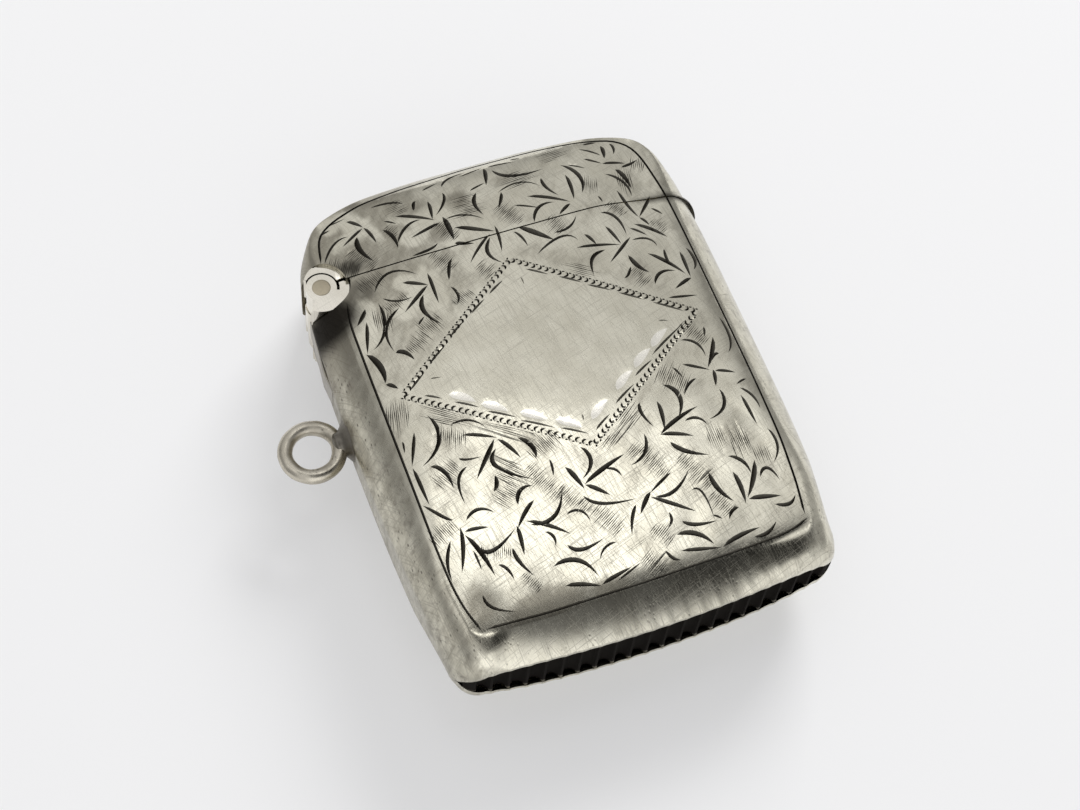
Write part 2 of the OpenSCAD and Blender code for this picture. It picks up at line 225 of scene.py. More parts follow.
finishes = {
    "engraved_silver": {"bright": rgb(0.79, 0.76, 0.64), "dull": rgb(0.60, 0.57, 0.465), "rough": 0.15,
                        "pits": 0.8, "scratch": 1.7, "bump": 0.3},
    "worn_silver": {"bright": rgb(0.79, 0.76, 0.64), "dull": rgb(0.58, 0.55, 0.445), "rough": 0.15,
                    "pits": 0.9, "scratch": 0.9, "bump": 0.3},
    "inside_silver": {"bright": rgb(0.66, 0.63, 0.57), "dull": rgb(0.42, 0.39, 0.34), "rough": 0.38,
                      "pits": 0.4, "scratch": 0.4, "bump": 0.4},
    "hinge_silver": {"bright": rgb(0.92, 0.88, 0.785), "dull": rgb(0.74, 0.70, 0.60), "rough": 0.15,
                     "pits": 0.3, "scratch": 0.5, "bump": 0.12},
    "ring_silver": {"bright": rgb(0.70, 0.655, 0.555), "dull": rgb(0.34, 0.31, 0.25), "rough": 0.27,
                    "pits": 0.9, "scratch": 0.6, "bump": 0.4},
    "solder": {"bright": rgb(0.32, 0.30, 0.26), "dull": rgb(0.12, 0.108, 0.09), "rough": 0.42,
               "pits": 1.4, "scratch": 0.2, "bump": 1.0},
    "spring_metal": {"bright": rgb(0.50, 0.475, 0.42), "dull": rgb(0.30, 0.28, 0.24), "rough": 0.34,
                     "pits": 0.4, "scratch": 0.8, "bump": 0.2},
    "pin_metal": {"bright": rgb(0.56, 0.50, 0.375), "dull": rgb(0.44, 0.385, 0.285), "rough": 0.4,
                  "pits": 0.3, "scratch": 0.5, "bump": 0.2},
}


# what lies over the bare metal, from the lowest up: scratches, smears and tarnish that also carry painted
# shade, pits, black patina in the cuts that also carries painted shade at the hinge, notch and lip, and a
# painted highlight on the thumbnail cuts
stains = {"scratch": rgb(0.40, 0.38, 0.32), "smearAndShade": rgb(0.20, 0.18, 0.14),
          "tarnishAndShade": rgb(0.25, 0.225, 0.185), "pit": rgb(0.05, 0.043, 0.036),
          "cut": rgb(0.024, 0.021, 0.017), "paintedHighlight": rgb(0.90, 0.87, 0.79)}


def silver(name):
    look = finishes[name]
    material, tree = freshTree(name)
    place = inMillimetres(tree)
    cut, haze, worn = (Wire.node(tree, "ShaderNodeAttribute", {"attribute_name": key}, out=2)
                       for key in ("cut", "haze", "worn"))
    cloud = mottle(tree, place, 0.32, 4.0).between(0.34, 0.68)
    grain = mottle(tree, place, 5.5, 3.0)
    drag = stretched(tree, place, 52, (0.5, 1.3, 0.8))
    # smears follow the haze attribute, which also carries painted shade on the hinge side and under the lip
    smearAndShade = (haze * 1.5 + mottle(tree, drag, 1.0, 4.0, 0.62) * 1.1 - 0.9).between(-0.05, 0.8)
    lines = (hairlines(tree, place, 17, 15.0, 0.64, 0.72) + hairlines(tree, place, -62, 17.0, 0.64, 0.72)
             + hairlines(tree, place, 96, 16.0, 0.62, 0.70)).clamped()
    pocks = Wire.node(tree, "ShaderNodeTexVoronoi", None,
                      {"Vector": stretched(tree, place, 0, (3.4, 1.7, 3.4)), "Scale": 1.0})
    pits = (1 - pocks.between(0.1, 0.34)) * mottle(tree, place, 0.6, 3.0, 0.7).between(0.45, 0.6)
    pits = (pits * (0.12 + worn * 0.88) * look["pits"]).clamped()
    # tarnish follows wear, which also carries painted shade on the hinge side
    tarnishAndShade = mottle(tree, place, 0.9, 4.0, 0.65).between(0.5, 0.74) * worn
    colour = (cloud * 0.6 + grain * 0.3).clamped().tint(look["bright"], look["dull"])
    # cuts given a negative darkness are painted brighter than the metal: a painted highlight on the
    # thumbnail cuts
    paintedHighlight = (0 - cut).clamped()
    shares = {"scratch": lines * 0.25 * look["scratch"], "smearAndShade": smearAndShade * 0.7, "tarnishAndShade": tarnishAndShade * 0.55,
              "pit": pits * 0.7, "cut": cut.clamped(), "paintedHighlight": paintedHighlight}
    for key, stain in stains.items():
        colour = shares[key].tint(colour, stain)
    roughness = look["rough"] + grain * 0.16 - 0.08 + lines * 0.06 * look["scratch"] + smearAndShade * 0.1
    roughness = (roughness + cut.clamped() * 0.3 - paintedHighlight * 0.06 + worn * 0.1).clamped()
    relief = grain * 0.12 + cloud * 0.15 - lines * 0.05 * look["scratch"] - pits * 1.6
    bump = Wire.node(tree, "ShaderNodeBump", None,
                     {"Strength": look["bump"], "Distance": 0.00003, "Height": relief})
    shader = Wire.node(tree, "ShaderNodeBsdfPrincipled", None, {
        "Base Color": colour, "Roughness": roughness, "Metallic": 1.0, "Normal": bump})
    Wire.node(tree, "ShaderNodeOutputMaterial", None, {"Surface": shader})
    return material


# striking grooves: black with soot, rubbed bright on the crests, and the crests painted bright only towards
# the back rim as painted light
soot = {"black": rgb(0.012, 0.011, 0.010), "rubbedAndLit": rgb(0.62, 0.57, 0.47)}


def sootedSilver():
    material, tree = freshTree("sooted_silver")
    place = inMillimetres(tree)
    crest = Wire.node(tree, "ShaderNodeAttribute", {"attribute_name": "crest"}, out=2)
    patch = mottle(tree, place, 1.1, 3.0).between(0.42, 0.66)
    grain = mottle(tree, place, 7.0, 3.0)
    rubbedAndLit = (crest * (0.4 + patch * 0.6)).clamped()
    colour = rubbedAndLit.tint((grain * 0.6).tint(soot["black"], rgb(0.02, 0.017, 0.014)), soot["rubbedAndLit"])
    bump = Wire.node(tree, "ShaderNodeBump", None, {"Strength": 0.6, "Distance": 0.00004, "Height": grain})
    shader = Wire.node(tree, "ShaderNodeBsdfPrincipled", None, {
        "Base Color": colour, "Roughness": 0.85 - rubbedAndLit * 0.45, "Metallic": rubbedAndLit, "Normal": bump,
        "Specular IOR Level": 0.04})
    Wire.node(tree, "ShaderNodeOutputMaterial", None, {"Surface": shader})
    return material


metals = {name: silver(name) for name in finishes}
metals["sooted_silver"] = sootedSilver()
print("finishes ready", len(metals))

# graver cuts of the leaf sprigs, x y to x y and width, or bent through a middle point
sprigs = {
    "lidLeft": [
        (-11.5, 18.05, -10.4, 17.05, .28), (-10.38, 17.0, -9.87, 15.13, .25),
        (-10.45, 16.95, -12.6, 15.7, .22), (-11.17, 16.25, -11.5, 15.0, -10.63, 13.42, .4),
        (-14.47, 14.58, -13.1, 16.17, -11.8, 16.53, .18), (-14, 17.4, -13, 17.7, .15),
        (-13.2, 18.1, -11.5, 18.4, .1), (-9, 16.2, -8.5, 15.2, -8.4, 14.0, .3),
        (-8.25, 14.5, -7, 15.8, -5.7, 16.1, .22), (-9.2, 18.7, -7.5, 18.6, -6.5, 18.15, .18),
        (-8.6, 17.0, -7.7, 16.4, .15), (-5.95, 17.2, -5.8, 17.9, -5.45, 18.1, .25)],
    "lidMiddleLeft": [
        (-7.6, 17.15, -4.6, 15.65, .28), (-4.55, 17.75, -4.8, 15.8, .26),
        (-3.1, 18.2, -3.4, 17.2, -4.4, 16.1, .22), (-4.35, 15.3, -7.1, 14.6, .25),
        (-3.95, 15.8, -3.85, 13.2, .4), (-7.6, 12.85, -6, 12.95, -5.2, 13.4, .22),
        (-3.9, 12.9, -3.4, 12.6, -2.4, 12.35, .3), (-3.8, 15.45, -2.2, 15.3, -0.8, 14.4, .15),
        (-0.5, 17.2, -1.1, 16.2, -0.7, 14.8, .3), (-2.95, 18.8, -2, 19.4, -0.5, 19.6, .2),
        (-4.6, 18.95, -3.1, 19.3, .15), (-1.1, 19.3, 1.0, 19.6, .15)],
    "overTheSeam": [
        (-3.4, 14.4, -0.4, 12.95, .35), (-0.25, 13.5, -0.6, 10.8, .22), (-0.9, 12.8, -3.4, 10.6, .22),
        (-1.0, 12.5, -1.8, 11.1, -0.9, 9.75, .28), (1.0, 12.4, 1.4, 11.6, 1.6, 10.65, .2),
        (1.5, 12.7, 3.9, 10.5, .45), (4.1, 11.2, 5.5, 11.3, 6.5, 12.3, .2),
        (2.0, 9.6, 4.5, 10.6, 5.7, 9.9, .2)],
    "lidRight": [
        (3.35, 15.45, 6.6, 13.75, .28), (7.2, 16.6, 6.95, 13.9, .28), (6.5, 13.6, 5.2, 12.8, .25),
        (3.0, 12.75, 3.9, 14.0, 5.3, 14.15, .25), (7.2, 17.7, 8.2, 16, 7.8, 14.3, .32),
        (5.15, 16.9, 5.1, 15.9, 5.9, 14.7, .26), (1.2, 16.6, 3.3, 17, 4.8, 16.1, .15),
        (1.5, 16.6, 0.7, 15.1, .25), (2, 14.9, 3.9, 14.0, .16), (1.6, 19.1, 2.8, 17.9, 5.7, 17.8, .28),
        (1.1, 19.5, 0.6, 17.7, .3), (-0.9, 17.6, 0.6, 18.0, .15), (1.4, 19.5, 3.7, 19.3, .18),
        (3.5, 19.6, 4.4, 19.5, .14)],
    "lidFarRight": [
        (9.3, 17.7, 10.6, 16.75, .18), (10.6, 16.7, 12.5, 16.15, .22),
        (12, 15.85, 12.8, 15.9, 13.6, 16.2, .2), (11.2, 18.6, 11.0, 17.2, .3),
        (12, 18.6, 12.1, 18, 11.9, 17.4, .2), (9.3, 18.8, 10.3, 18.1, 10.8, 17.6, .15),
        (9.8, 19.1, 11, 19.0, .18), (10.4, 15.6, 11.5, 14.3, 11.65, 12.7, .22),
        (11.4, 15.8, 11.75, 14.8, 11.95, 13.5, .35), (7.8, 17.5, 9.1, 16.7, .14),
        (8.95, 13.6, 9.1, 12.9, .14)],
    "bodyTopRight": [
        (10.7, 13.7, 10.9, 11.9, 11.4, 10.5, .25), (13.1, 12.3, 11.4, 10.5, .25),
        (11.4, 10.5, 11.9, 9.5, .22), (12.7, 11.1, 13.4, 10.2, .2), (8.5, 11.9, 9.5, 11, 9.7, 9.1, .25),
        (10.7, 10, 12.9, 7.9, .32), (10.2, 9.7, 11.3, 8.6, .2), (5.3, 9.2, 8.9, 8.35, .24),
        (8.35, 10.5, 8.95, 8.4, .25), (6.4, 10.3, 7, 9, .25), (9.95, 8.85, 7.35, 6.95, .24),
        (7.5, 8.3, 6.1, 7.9, 5.65, 6.2, .28), (9.9, 8.5, 11.2, 8.2, 11.7, 7.3, .18),
        (9.05, 7.2, 9.3, 6, 10.1, 5.1, .35), (8.85, 6.1, 8.4, 5.4, 7.9, 5.2, .2)],
    "bodyRight": [
        (10.65, 6.9, 12.9, 4.05, .3), (13.25, 6.3, 13.15, 3.65, .26), (13.2, 3.6, 11.5, 3, .28),
        (12.1, 6.9, 11.9, 6, 12.1, 5.2, .22), (10.1, 3.9, 11, 4.75, 12.2, 4.6, .25),
        (10.6, 2.35, 13, 1.9, .2), (13.9, 6.5, 14.1, 5.2, 13.7, 4.3, .25)],
    "rightLower": [
        (12.65, -2.1, 11.15, -4.6, .32), (9.3, -3.7, 11.25, -4.8, .22), (11.5, -4.85, 11.15, -6.3, .26),
        (11.6, -5, 13.15, -5.65, .22), (10, -1.6, 11.1, -2.3, 11.4, -3.6, .2),
        (13.9, -0.4, 13.95, -2.5, 13.3, -3.8, .2), (12.3, -1, 12, -1.9, .16),
        (12.5, -3.7, 12.2, -3.7, 11.75, -4.1, .2), (8.45, -3.7, 8.9, -4.8, .16),
        (9.9, -5.2, 9.1, -5.6, 8.4, -6.3, .2), (13.75, -6.4, 12.8, -6.65, .16),
        (11.3, -6.6, 11, -8.1, 9.5, -8.85, .25), (12.75, -7.6, 13, -10.4, .24),
        (12.9, -7, 13.6, -8, 13.8, -9.2, .2), (13.65, -10.9, 13.8, -12.5, 13, -13.75, .2)],
    "centreRight": [
        (6.12, -6.1, 5.78, -8.6, .3), (5.3, -8.9, 9.1, -7.5, .32), (5.3, -8.9, 7.8, -9.8, .3),
        (4.75, -5.8, 4.5, -6.7, 5.05, -8.1, .25), (7.1, -4.9, 7.9, -6.3, 7.2, -8, .35),
        (7.6, -8.4, 8.6, -8.5, 9.2, -9.25, .22), (4.1, -8.4, 3.5, -9.9, 2.1, -10.6, .25),
        (5.8, -9.7, 6.5, -10.8, 8.35, -11.65, .35)],
    "centreBottom": [
        (4.9, -12.1, 2.7, -13.2, .22), (2.8, -13.1, 1.35, -14.6, .32), (2.6, -13.5, 5.6, -15.7, .3),
        (3, -13.6, 4.6, -13.7, 6.4, -12.25, .26), (1.3, -13.75, 0.6, -14.6, 0.1, -16, .25),
        (-2.3, -11.8, -1.2, -12.9, 1.6, -13.3, .25), (-2.8, -9.1, -2, -11.3, .36),
        (-1.85, -10.95, 0.2, -10.2, 2, -9.55, .34), (-1.85, -11, -0.3, -12.4, .32),
        (-1.1, -7.9, -0.8, -9.3, -1.9, -10.5, .3), (0.2, -10.3, 0.8, -10.6, 1.1, -11.2, .2)],
    "leftCentre": [
        (-9.4, -4, -6.9, -5.1, .26), (-7.15, -5.1, -9.6, -7.9, .32), (-6.95, -5.2, -5.75, -7.3, .3),
        (-7.3, -5.9, -7.9, -7.4, -5.4, -9.3, .32), (-5.4, -5.6, -4.7, -6.7, -4.65, -7.7, .35),
        (-10, -2.9, -8.5, -3, -7.4, -4, .18), (-10.3, -5.75, -9.8, -6.1, -8.6, -6.2, .18),
        (-9.9, -6.6, -11, -7.5, -11.1, -9.6, .22), (-12.6, -5.7, -11.8, -6.5, -11.5, -8, .32),
        (-8.15, -8, -8.4, -8.8, -8.7, -9.2, .3), (-3.7, -8.1, -3.8, -8.9, -3.9, -9.5, .18),
        (-12.8, -2.5, -13.9, -5.2, .24), (-13.9, -5.3, -13.7, -8.7, .26),
        (-11.35, -1.5, -11.3, -3.8, -13.2, -5.5, .3), (-13.9, -2.9, -14.05, -3.9, .14),
        (-14.2, -8.5, -13.1, -9.95, -12.4, -10.4, .25)],
    "upperLeft": [
        (-9.2, 10.65, -7.3, 9.75, .3), (-7, 10.9, -7.1, 7.8, .26), (-7.35, 9.75, -9.95, 7.9, .28),
        (-8, 9, -8.6, 7.6, -7.6, 5.9, .35), (-5.7, 9, -5.45, 8, -5.8, 7.2, .22),
        (-11.6, 10.5, -9.8, 11.9, -7.7, 10.95, .2), (-11.2, 9.8, -10.2, 9.1, -8.8, 9.1, .16),
        (-5.6, 9.6, -5.2, 10.9, -4.6, 11.6, .25), (-10.2, 8.5, -11.9, 7, -11.9, 4.7, .25),
        (-11.85, 4.6, -11.2, 4.3, -10.65, 3.5, .35), (-11.65, 9.5, -12, 7, -13.4, 5.45, .26),
        (-13.1, 8.1, -13.95, 5.3, .26), (-12.8, 9.3, -13.9, 8, .3),
        (-14.05, 5.3, -13.5, 3.7, -13.5, 2.3, .45), (-13.5, 2.2, -12.7, 1.5, .3),
        (-9.3, 6.4, -8.6, 7, .16)],
    "bottomLeft": [
        (-12.1, -11.1, -13.2, -14.6, .3), (-11.9, -11.6, -10, -11.85, .26),
        (-12, -11.8, -10.9, -15.7, .34), (-13.15, -11.9, -14.0, -13.4, -14.1, -15, .24),
        (-11.5, -10.8, -10.3, -10.3, -9.2, -10.9, .24), (-11.4, -13, -10.4, -13.8, -8.1, -12.55, .3),
        (-6, -10.9, -8, -12.7, .3), (-8, -12.4, -8.25, -14.85, .3), (-7.2, -12.3, -4.3, -14.4, .3),
        (-7, -12.7, -5, -12.75, -3.7, -10.85, .3), (-7.3, -10.9, -6.7, -9.9, -5.7, -9.75, .3),
        (-11.8, -13.2, -11.7, -14.9, .16), (-8.9, -14, -8.9, -15.1, -8.1, -16.6, .28),
        (-10.4, -14.9, -9.9, -15.5, -9.65, -16.4, .22), (-6.1, -13.6, -5.7, -14.2, -5.75, -14.9, .22),
        (-4.1, -12.85, -3, -12.9, -2.5, -14, .2), (-4.9, -15.1, -4, -15.9, -2, -15.5, .3),
        (-6.5, -16.4, -4.6, -16.6, -3.5, -18.2, .34), (-1.2, -16.1, -2.2, -16.3, -2.9, -17, .18),
        (-6.2, -18.1, -3.5, -19, .3), (-3.5, -18.9, -0.8, -18.3, .28), (-2.2, -19, 0, -18.2, .16),
        (-12.3, -16.7, -12, -17.9, -10.3, -18.75, .22)],
    "bottomRight": [
        (9.55, -13.5, 9.55, -16.3, .34), (11.6, -13.1, 9.85, -15.9, .36), (9.9, -16, 12.5, -16.5, .34),
        (9.7, -12.2, 10.6, -13, 10.9, -14.1, .26), (7.7, -13, 7.8, -14.5, 8.75, -15.85, .36),
        (11.5, -14.6, 12.3, -14.1, 12.9, -15.3, .24), (11.7, -17, 12.8, -17.4, 13.6, -16.75, .28),
        (3.5, -15.1, 3.4, -15.8, 3, -16.2, .2), (4.2, -16.1, 5.1, -16.75, 6.9, -16.9, .28),
        (3.4, -17.0, 4.9, -17.5, 5.9, -18.6, .36), (3.2, -18.3, 6.4, -19, .26),
        (6.5, -19, 9.9, -18.4, .32), (9.1, -19, 10.3, -19.05, 11.3, -18.3, .26),
        (5.9, -14, 6.6, -14.5, 6.7, -16.8, .16), (6.7, -16.4, 7.3, -16.9, .16),
        (8.9, -16.4, 8.3, -16.6, 7.8, -17.1, .25), (2.1, -17.9, 2.4, -18.7, 3, -18.9, .24)],
}
leafMarks = [mark for marks in sprigs.values() for mark in marks]
# the plain diamond: corners of its roped edge, dashes inside it, thumbnail cuts painted bright as a painted
# highlight, corner ticks
diamond = {
    "corners": [(-12.6, 0.75), (-0.3, 9.85), (12.3, 0.5), (0.05, -8.05)],
    "half": (12.4, 8.95), "middle": 0.9, "pitch": 0.56, "dash": 0.2, "dashDark": 0.9, "tick": 0.12,
    "tickDark": 0.7,
    "hook": [([(-0.17, -0.25), (0.12, -0.03), (-0.05, 0.27)], 0.2),
             ([(0.15, 0.2), (0.27, 0.21), (0.4, 0.26)], 0.15)],
    "dashes": [
        (-11.8, 1.05, -10.3, 2.15), (-9.7, 2.7, -7.9, 3.95), (-7.3, 4.5, -5.8, 5.55), (-5, 6, -3.5, 6.95),
        (-3, 7.25, -1.5, 8.15), (0.6, 8.55, 2.2, 7.45), (2.9, 7, 4.5, 5.85), (4.75, 5.55, 6.5, 4.4),
        (6.9, 4.05, 8.7, 2.75), (9.2, 2.35, 11.4, 0.75), (0.6, -7, 2.2, -6), (2.9, -5.35, 5, -4.15),
        (5.3, -3.55, 7.2, -2.55), (7.3, -2.2, 10.7, -0.3), (-11, 0.2, -9.8, -0.5), (-9, -1.1, -7.3, -2.2),
        (-6.9, -2.7, -4.8, -4), (-4.7, -4.3, -2.3, -5.8), (-2, -5.9, 0, -7.1)],
    "thumbnails": [
        (-8.3, -1.0), (-6.2, -2.6), (-3.6, -4.3), (-1.2, -5.8), (8.5, -0.9), (6.5, -2.2), (4.4, -3.6),
        (1.6, -5.4)],
    "thumbnail": {"turns": (-36, 34), "half": 1.12, "bow": 0.16, "width": 0.7, "slope": 0.06},
    "ticks": [(-10.1, 1.45, -9.2, 1.3), (-0.05, 8, -0.05, 7.2), (9, 0.6, 9.8, 0.35), (0.05, -5.3, 0, -5.9)],
}
# line round the engraved panel
border = {
    "width": 0.19, "step": 0.6, "smoothing": 3,
    "runs": [
        [(-14.0, 10.35), (-14.4, 8.5), (-14.45, 4), (-14.45, -4), (-14.45, -12), (-14.3, -15.5),
         (-13.9, -17.8), (-13.3, -19.3)],
        [(-12.95, -19.3), (-8, -19.65), (0, -19.75), (8, -19.65), (11.5, -19.5), (13, -19.2),
         (13.75, -18.8)],
        [(13.7, -18.5), (14.1, -16), (14.4, -12), (14.5, -6), (14.5, 6), (14.45, 12.2), (14.4, 13),
         (14.1, 16), (13.7, 17.6), (13, 18.5), (12, 19.0), (9, 19.6), (5.5, 19.95), (0, 20.05), (-6, 19.75),
         (-10, 19.3), (-12.6, 18.5), (-14.1, 17.5), (-14.55, 16), (-14.75, 14.7)],
    ],
}
# hatched ground between the leaves: centre, half length along and across the lines, angle, depth of tone
ground = [
    (-11.4, 14.0, 0.9, 1.0, 30, .5), (-8.4, 15.8, 0.6, 0.5, 30, .4), (-4.2, 14.3, 0.8, 0.9, 33, .6),
    (-1.8, 16.2, 1.3, 0.8, 0, .6), (3.4, 17.5, 1.3, 0.6, 5, .5), (1.3, 14.2, 0.8, 1.0, 30, .5),
    (11.7, 14.5, 1.3, 0.5, 80, .5), (13.4, 15.8, 0.7, 0.5, 60, .4), (6.9, 19.0, 1.2, 0.5, 5, .6),
    (-13.2, 13.6, 0.9, 1.0, 60, .55), (-7.2, 18.0, 0.9, 0.6, 10, .4), (8.8, 15.0, 0.9, 0.5, 70, .35),
    (-11.6, 11.7, 0.9, 0.9, -68, .5), (-5.4, 11.6, 0.8, 0.9, 33, .5), (-8.4, 6.1, 0.8, 0.8, -65, .5),
    (-9.9, 4.9, 0.7, 0.8, -62, .55), (-5.1, 7.7, 0.6, 0.7, -65, .5), (-11.8, 7.8, 1.0, 0.6, 80, .5),
    (-10.3, 9.0, 0.6, 0.8, -68, .45), (4.6, 12.0, 0.8, 0.7, 30, .4), (-2.5, 9.6, 0.8, 0.6, 33, .45),
    (12.6, 9.2, 0.6, 0.6, 30, .4), (9.9, 11.9, 0.6, 0.7, 30, .4), (4.7, 7.2, 1.2, 0.4, -36, .7),
    (9.2, 5.0, 0.8, 0.7, 30, .5), (11.3, -1.3, 0.7, 1.0, 31, .5), (8.1, -4.6, 1.1, 1.0, 50, .6),
    (-13.5, -0.6, 1.3, 0.7, 75, .5), (-10.1, -2.0, 1.6, 0.55, -36, .7), (-10.2, -3.8, 0.8, 0.9, 69, .45),
    (-6.3, -4.7, 2.2, 0.4, -36, .6), (-3.7, -6.8, 0.9, 1.1, -68, .55), (-7.0, -8.1, 1.5, 0.7, -45, .75),
    (-4.8, -9.8, 0.9, 1.4, 29, .65), (-7.8, -9.8, 1.0, 0.8, -52, .5), (-3.1, -11.8, 0.8, 1.1, 29, .4),
    (-11.6, -6.7, 0.9, 0.9, -60, .4), (-13.5, -11.1, 1.0, 0.9, -68, .6), (-10.2, -13.9, 0.6, 0.9, 69, .4),
    (3.3, -6.9, 1.6, 0.55, 34, .75), (1.6, -8.1, 1.0, 0.35, 34, .6), (3.7, -10.6, 1.0, 1.4, 31, .8),
    (6.7, -12.6, 0.9, 1.3, 29, .6), (9.4, -10.6, 1.2, 0.5, 90, .7), (11.1, -11.4, 1.4, 0.6, 90, .75),
    (-1.2, -14.2, 0.9, 1.0, 31, .45), (2.4, -16.6, 0.8, 0.7, 33, .6), (0.8, -18.6, 1.0, 0.7, 33, .7),
    (7.8, -15.6, 0.8, 0.8, 29, .4), (-8.5, -17.0, 0.5, 0.7, 30, .5), (12.4, -12.9, 0.8, 0.5, 90, .4),
]
hatch = {"pitch": 0.15, "width": 0.08, "weight": (0.8, 1.25), "spread": 1.3, "round": 0.6,
         "length": (0.6, 1.15), "shift": 0.25, "sway": 0.05, "slope": 0.35, "tone": (0.6, 0.5)}
# litTone is painted light: the cut wall facing the light direction is painted lighter than the shaded wall
graver = {"slope": 0.45, "lean": 0.24, "light": (0.68, 0.73), "litTone": 0.2, "widen": 1.2, "swell": 0.75,
          "bend": 0.03, "bow": 0.2, "clear": 0.07, "grid": 0.5, "fullDepth": 0.05, "rim": 0.86,
          "overrun": 0.02}
ripple = {"depth": 0.06, "pitch": 0.5, "side": (12.6, 14.2), "low": (17.6, 19.4), "top": (18.0, 20.2),
          "plain": (0.9, 1.15), "layer": 7.0}
# tarnish left between the leaves, without lines, and painted shade where the panel reads dark, most along
# the bottom and the lower left
toningAndShade = [
    (-11.8, 14.3, 3.4, 2.0, 20, .62), (-6.2, 17.6, 2.6, 1.3, 15, .5), (-2.2, 17.0, 1.6, 1.5, 40, .6),
    (-4.8, 14.2, 1.6, 1.2, 50, .6), (2.6, 17.9, 2.4, 1.0, 10, .55), (7.0, 18.9, 2.2, 0.9, 10, .5),
    (12.2, 14.6, 1.0, 2.2, 0, .5), (1.2, 14.3, 1.6, 1.0, 20, .5), (-12.6, 11.6, 2.2, 1.2, 30, .55),
    (-6.0, 11.6, 1.8, 0.9, 20, .45), (4.4, 12.0, 1.6, 0.8, 20, .4), (9.8, 12.0, 1.6, 0.9, 20, .45),
    (-13.6, 3.4, 0.8, 3.0, 0, .4), (10.6, -10.4, 1.6, 1.8, 0, .5), (3.2, -11.0, 2.2, 1.0, 30, .45),
    (-12.6, -17.6, 1.9, 2.4, 0, .6), (-8.2, -19.0, 4.4, 1.8, 3, .7), (-3.0, -19.2, 2.8, 0.9, 0, .55),
    (13.4, -15.5, 0.9, 2.0, 0, .45), (1.2, -18.9, 2.4, 0.7, 0, .45),
]


# the lid's top rolls away, so marks near it lie further up
lidRise = {"from": 18.5, "gain": 0.175}


def onLid(x, y):
    return x, y + lidRise["gain"] * max(y - lidRise["from"], 0.0) ** 2


# points on a bend through a middle point
def bentPoints(a, via, b, count):
    c = (2 * via[0] - (a[0] + b[0]) / 2, 2 * via[1] - (a[1] + b[1]) / 2)
    made = []
    for k in range(count):
        t = k / (count - 1)
        u, v, w = (1 - t) ** 2, 2 * t * (1 - t), t * t
        made.append((u * a[0] + v * c[0] + w * b[0], u * a[1] + v * c[1] + w * b[1]))
    return made


# marks are read as they lie, so what the dip will lower is raised first
def beforeDip(x, y):
    raised = y
    for _ in range(4):
        raised = y + seamDip(x, raised)
    return x, raised


# a cut swells between two points, or keeps its width where it is even
def makeCut(points, width, dark=1.0, slope=None, even=False, lean=None):
    points = [beforeDip(*p) for p in points]
    last = len(points) - 1
    power = graver["swell"]
    swell = [1.0 if even else math.sin(math.pi * (k / last) ** power) ** power for k in range(1, last)]
    xs, ys = [p[0] for p in points], [p[1] for p in points]
    (ax, ay), (bx, by) = points[0], points[-1]
    # the cut wall towards the light direction is marked lit, to be painted lighter: painted light and shade
    # across the cut
    lit = -1 if (bx - ax) * graver["light"][1] - (by - ay) * graver["light"][0] > 0 else 1
    if even or dark < 0 or lean is not None:
        lit = 0
    if lean is None:
        lean = graver["lean"] if lit > 0 else 1 - graver["lean"]
    return {"points": points, "widths": [0.0] + [width * s for s in swell] + [0.0], "dark": dark,
            "slope": slope or graver["slope"], "lit": lit, "lean": lean,
            "box": (min(xs) - width, min(ys) - width, max(xs) + width, max(ys) + width)}


def leafCuts(dice):
    cuts = []
    for mark in leafMarks:
        *flat, width = mark
        points = [onLid(*flat[k:k + 2]) for k in range(0, len(flat), 2)]
        count = 10
        if len(points) == 2:  # a straight cut still bends a little
            (ax, ay), (bx, by) = points
            bend = graver["bend"] * math.hypot(bx - ax, by - ay) * dice.choice((-1, 1))
            points.insert(1, ((ax + bx) / 2 + (by - ay) * bend * graver["bow"],
                              (ay + by) / 2 - (bx - ax) * bend * graver["bow"]))
            count = 7
        cuts.append(makeCut(bentPoints(*points, count), width * graver["widen"]))
    return cuts


def ropeCuts(dice):
    cuts = []
    corners = diamond["corners"]
    for a, b in zip(corners, corners[1:] + corners[:1]):
        length = math.dist(a, b)
        ux, uy = (b[0] - a[0]) / length, (b[1] - a[1]) / length
        count = round(length / diamond["pitch"])
        for n in range(count):
            s = (n + 0.5 + dice.uniform(-0.05, 0.05)) * length / count
            for shape, width in diamond["hook"]:
                spots = [(a[0] + ux * (s + u) - uy * v, a[1] + uy * (s + u) + ux * v) for u, v in shape]
                cuts.append(makeCut(bentPoints(*spots, 6), width, lean=0.5))
    return cuts


def straightCut(ends, count, width, dark):
    ax, ay, bx, by = ends
    return makeCut(bentPoints((ax, ay), ((ax + bx) / 2, (ay + by) / 2), (bx, by), count), width, dark)


def thumbnailCut(x, y):
    nail = diamond["thumbnail"]
    left, right = nail["turns"]
    turn = math.radians(left if x < 0 else right)
    dx, dy = nail["half"] * math.cos(turn), nail["half"] * math.sin(turn)
    nx, ny = -math.sin(turn) * nail["bow"], math.cos(turn) * nail["bow"]
    points = bentPoints((x - dx, y - dy), (x + nx, y + ny), (x + dx, y + dy), 8)
    # a negative darkness paints this cut brighter than the metal: a painted highlight
    return makeCut(points, nail["width"], -1.0, nail["slope"], lean=0.5)


def borderCut(run):
    fine = []
    for a, b in zip(run, run[1:]):
        steps = max(2, round(math.dist(a, b) / border["step"]))
        fine += [onLid(mixed(a[0], b[0], k / steps), mixed(a[1], b[1], k / steps)) for k in range(steps)]
    fine.append(onLid(*run[-1]))
    for _ in range(border["smoothing"]):
        inner = [((p[0] + 2 * q[0] + r[0]) / 4, (p[1] + 2 * q[1] + r[1]) / 4)
                 for p, q, r in zip(fine, fine[1:], fine[2:])]
        fine = [fine[0]] + inner + [fine[-1]]
    return makeCut(fine, border["width"], even=True)


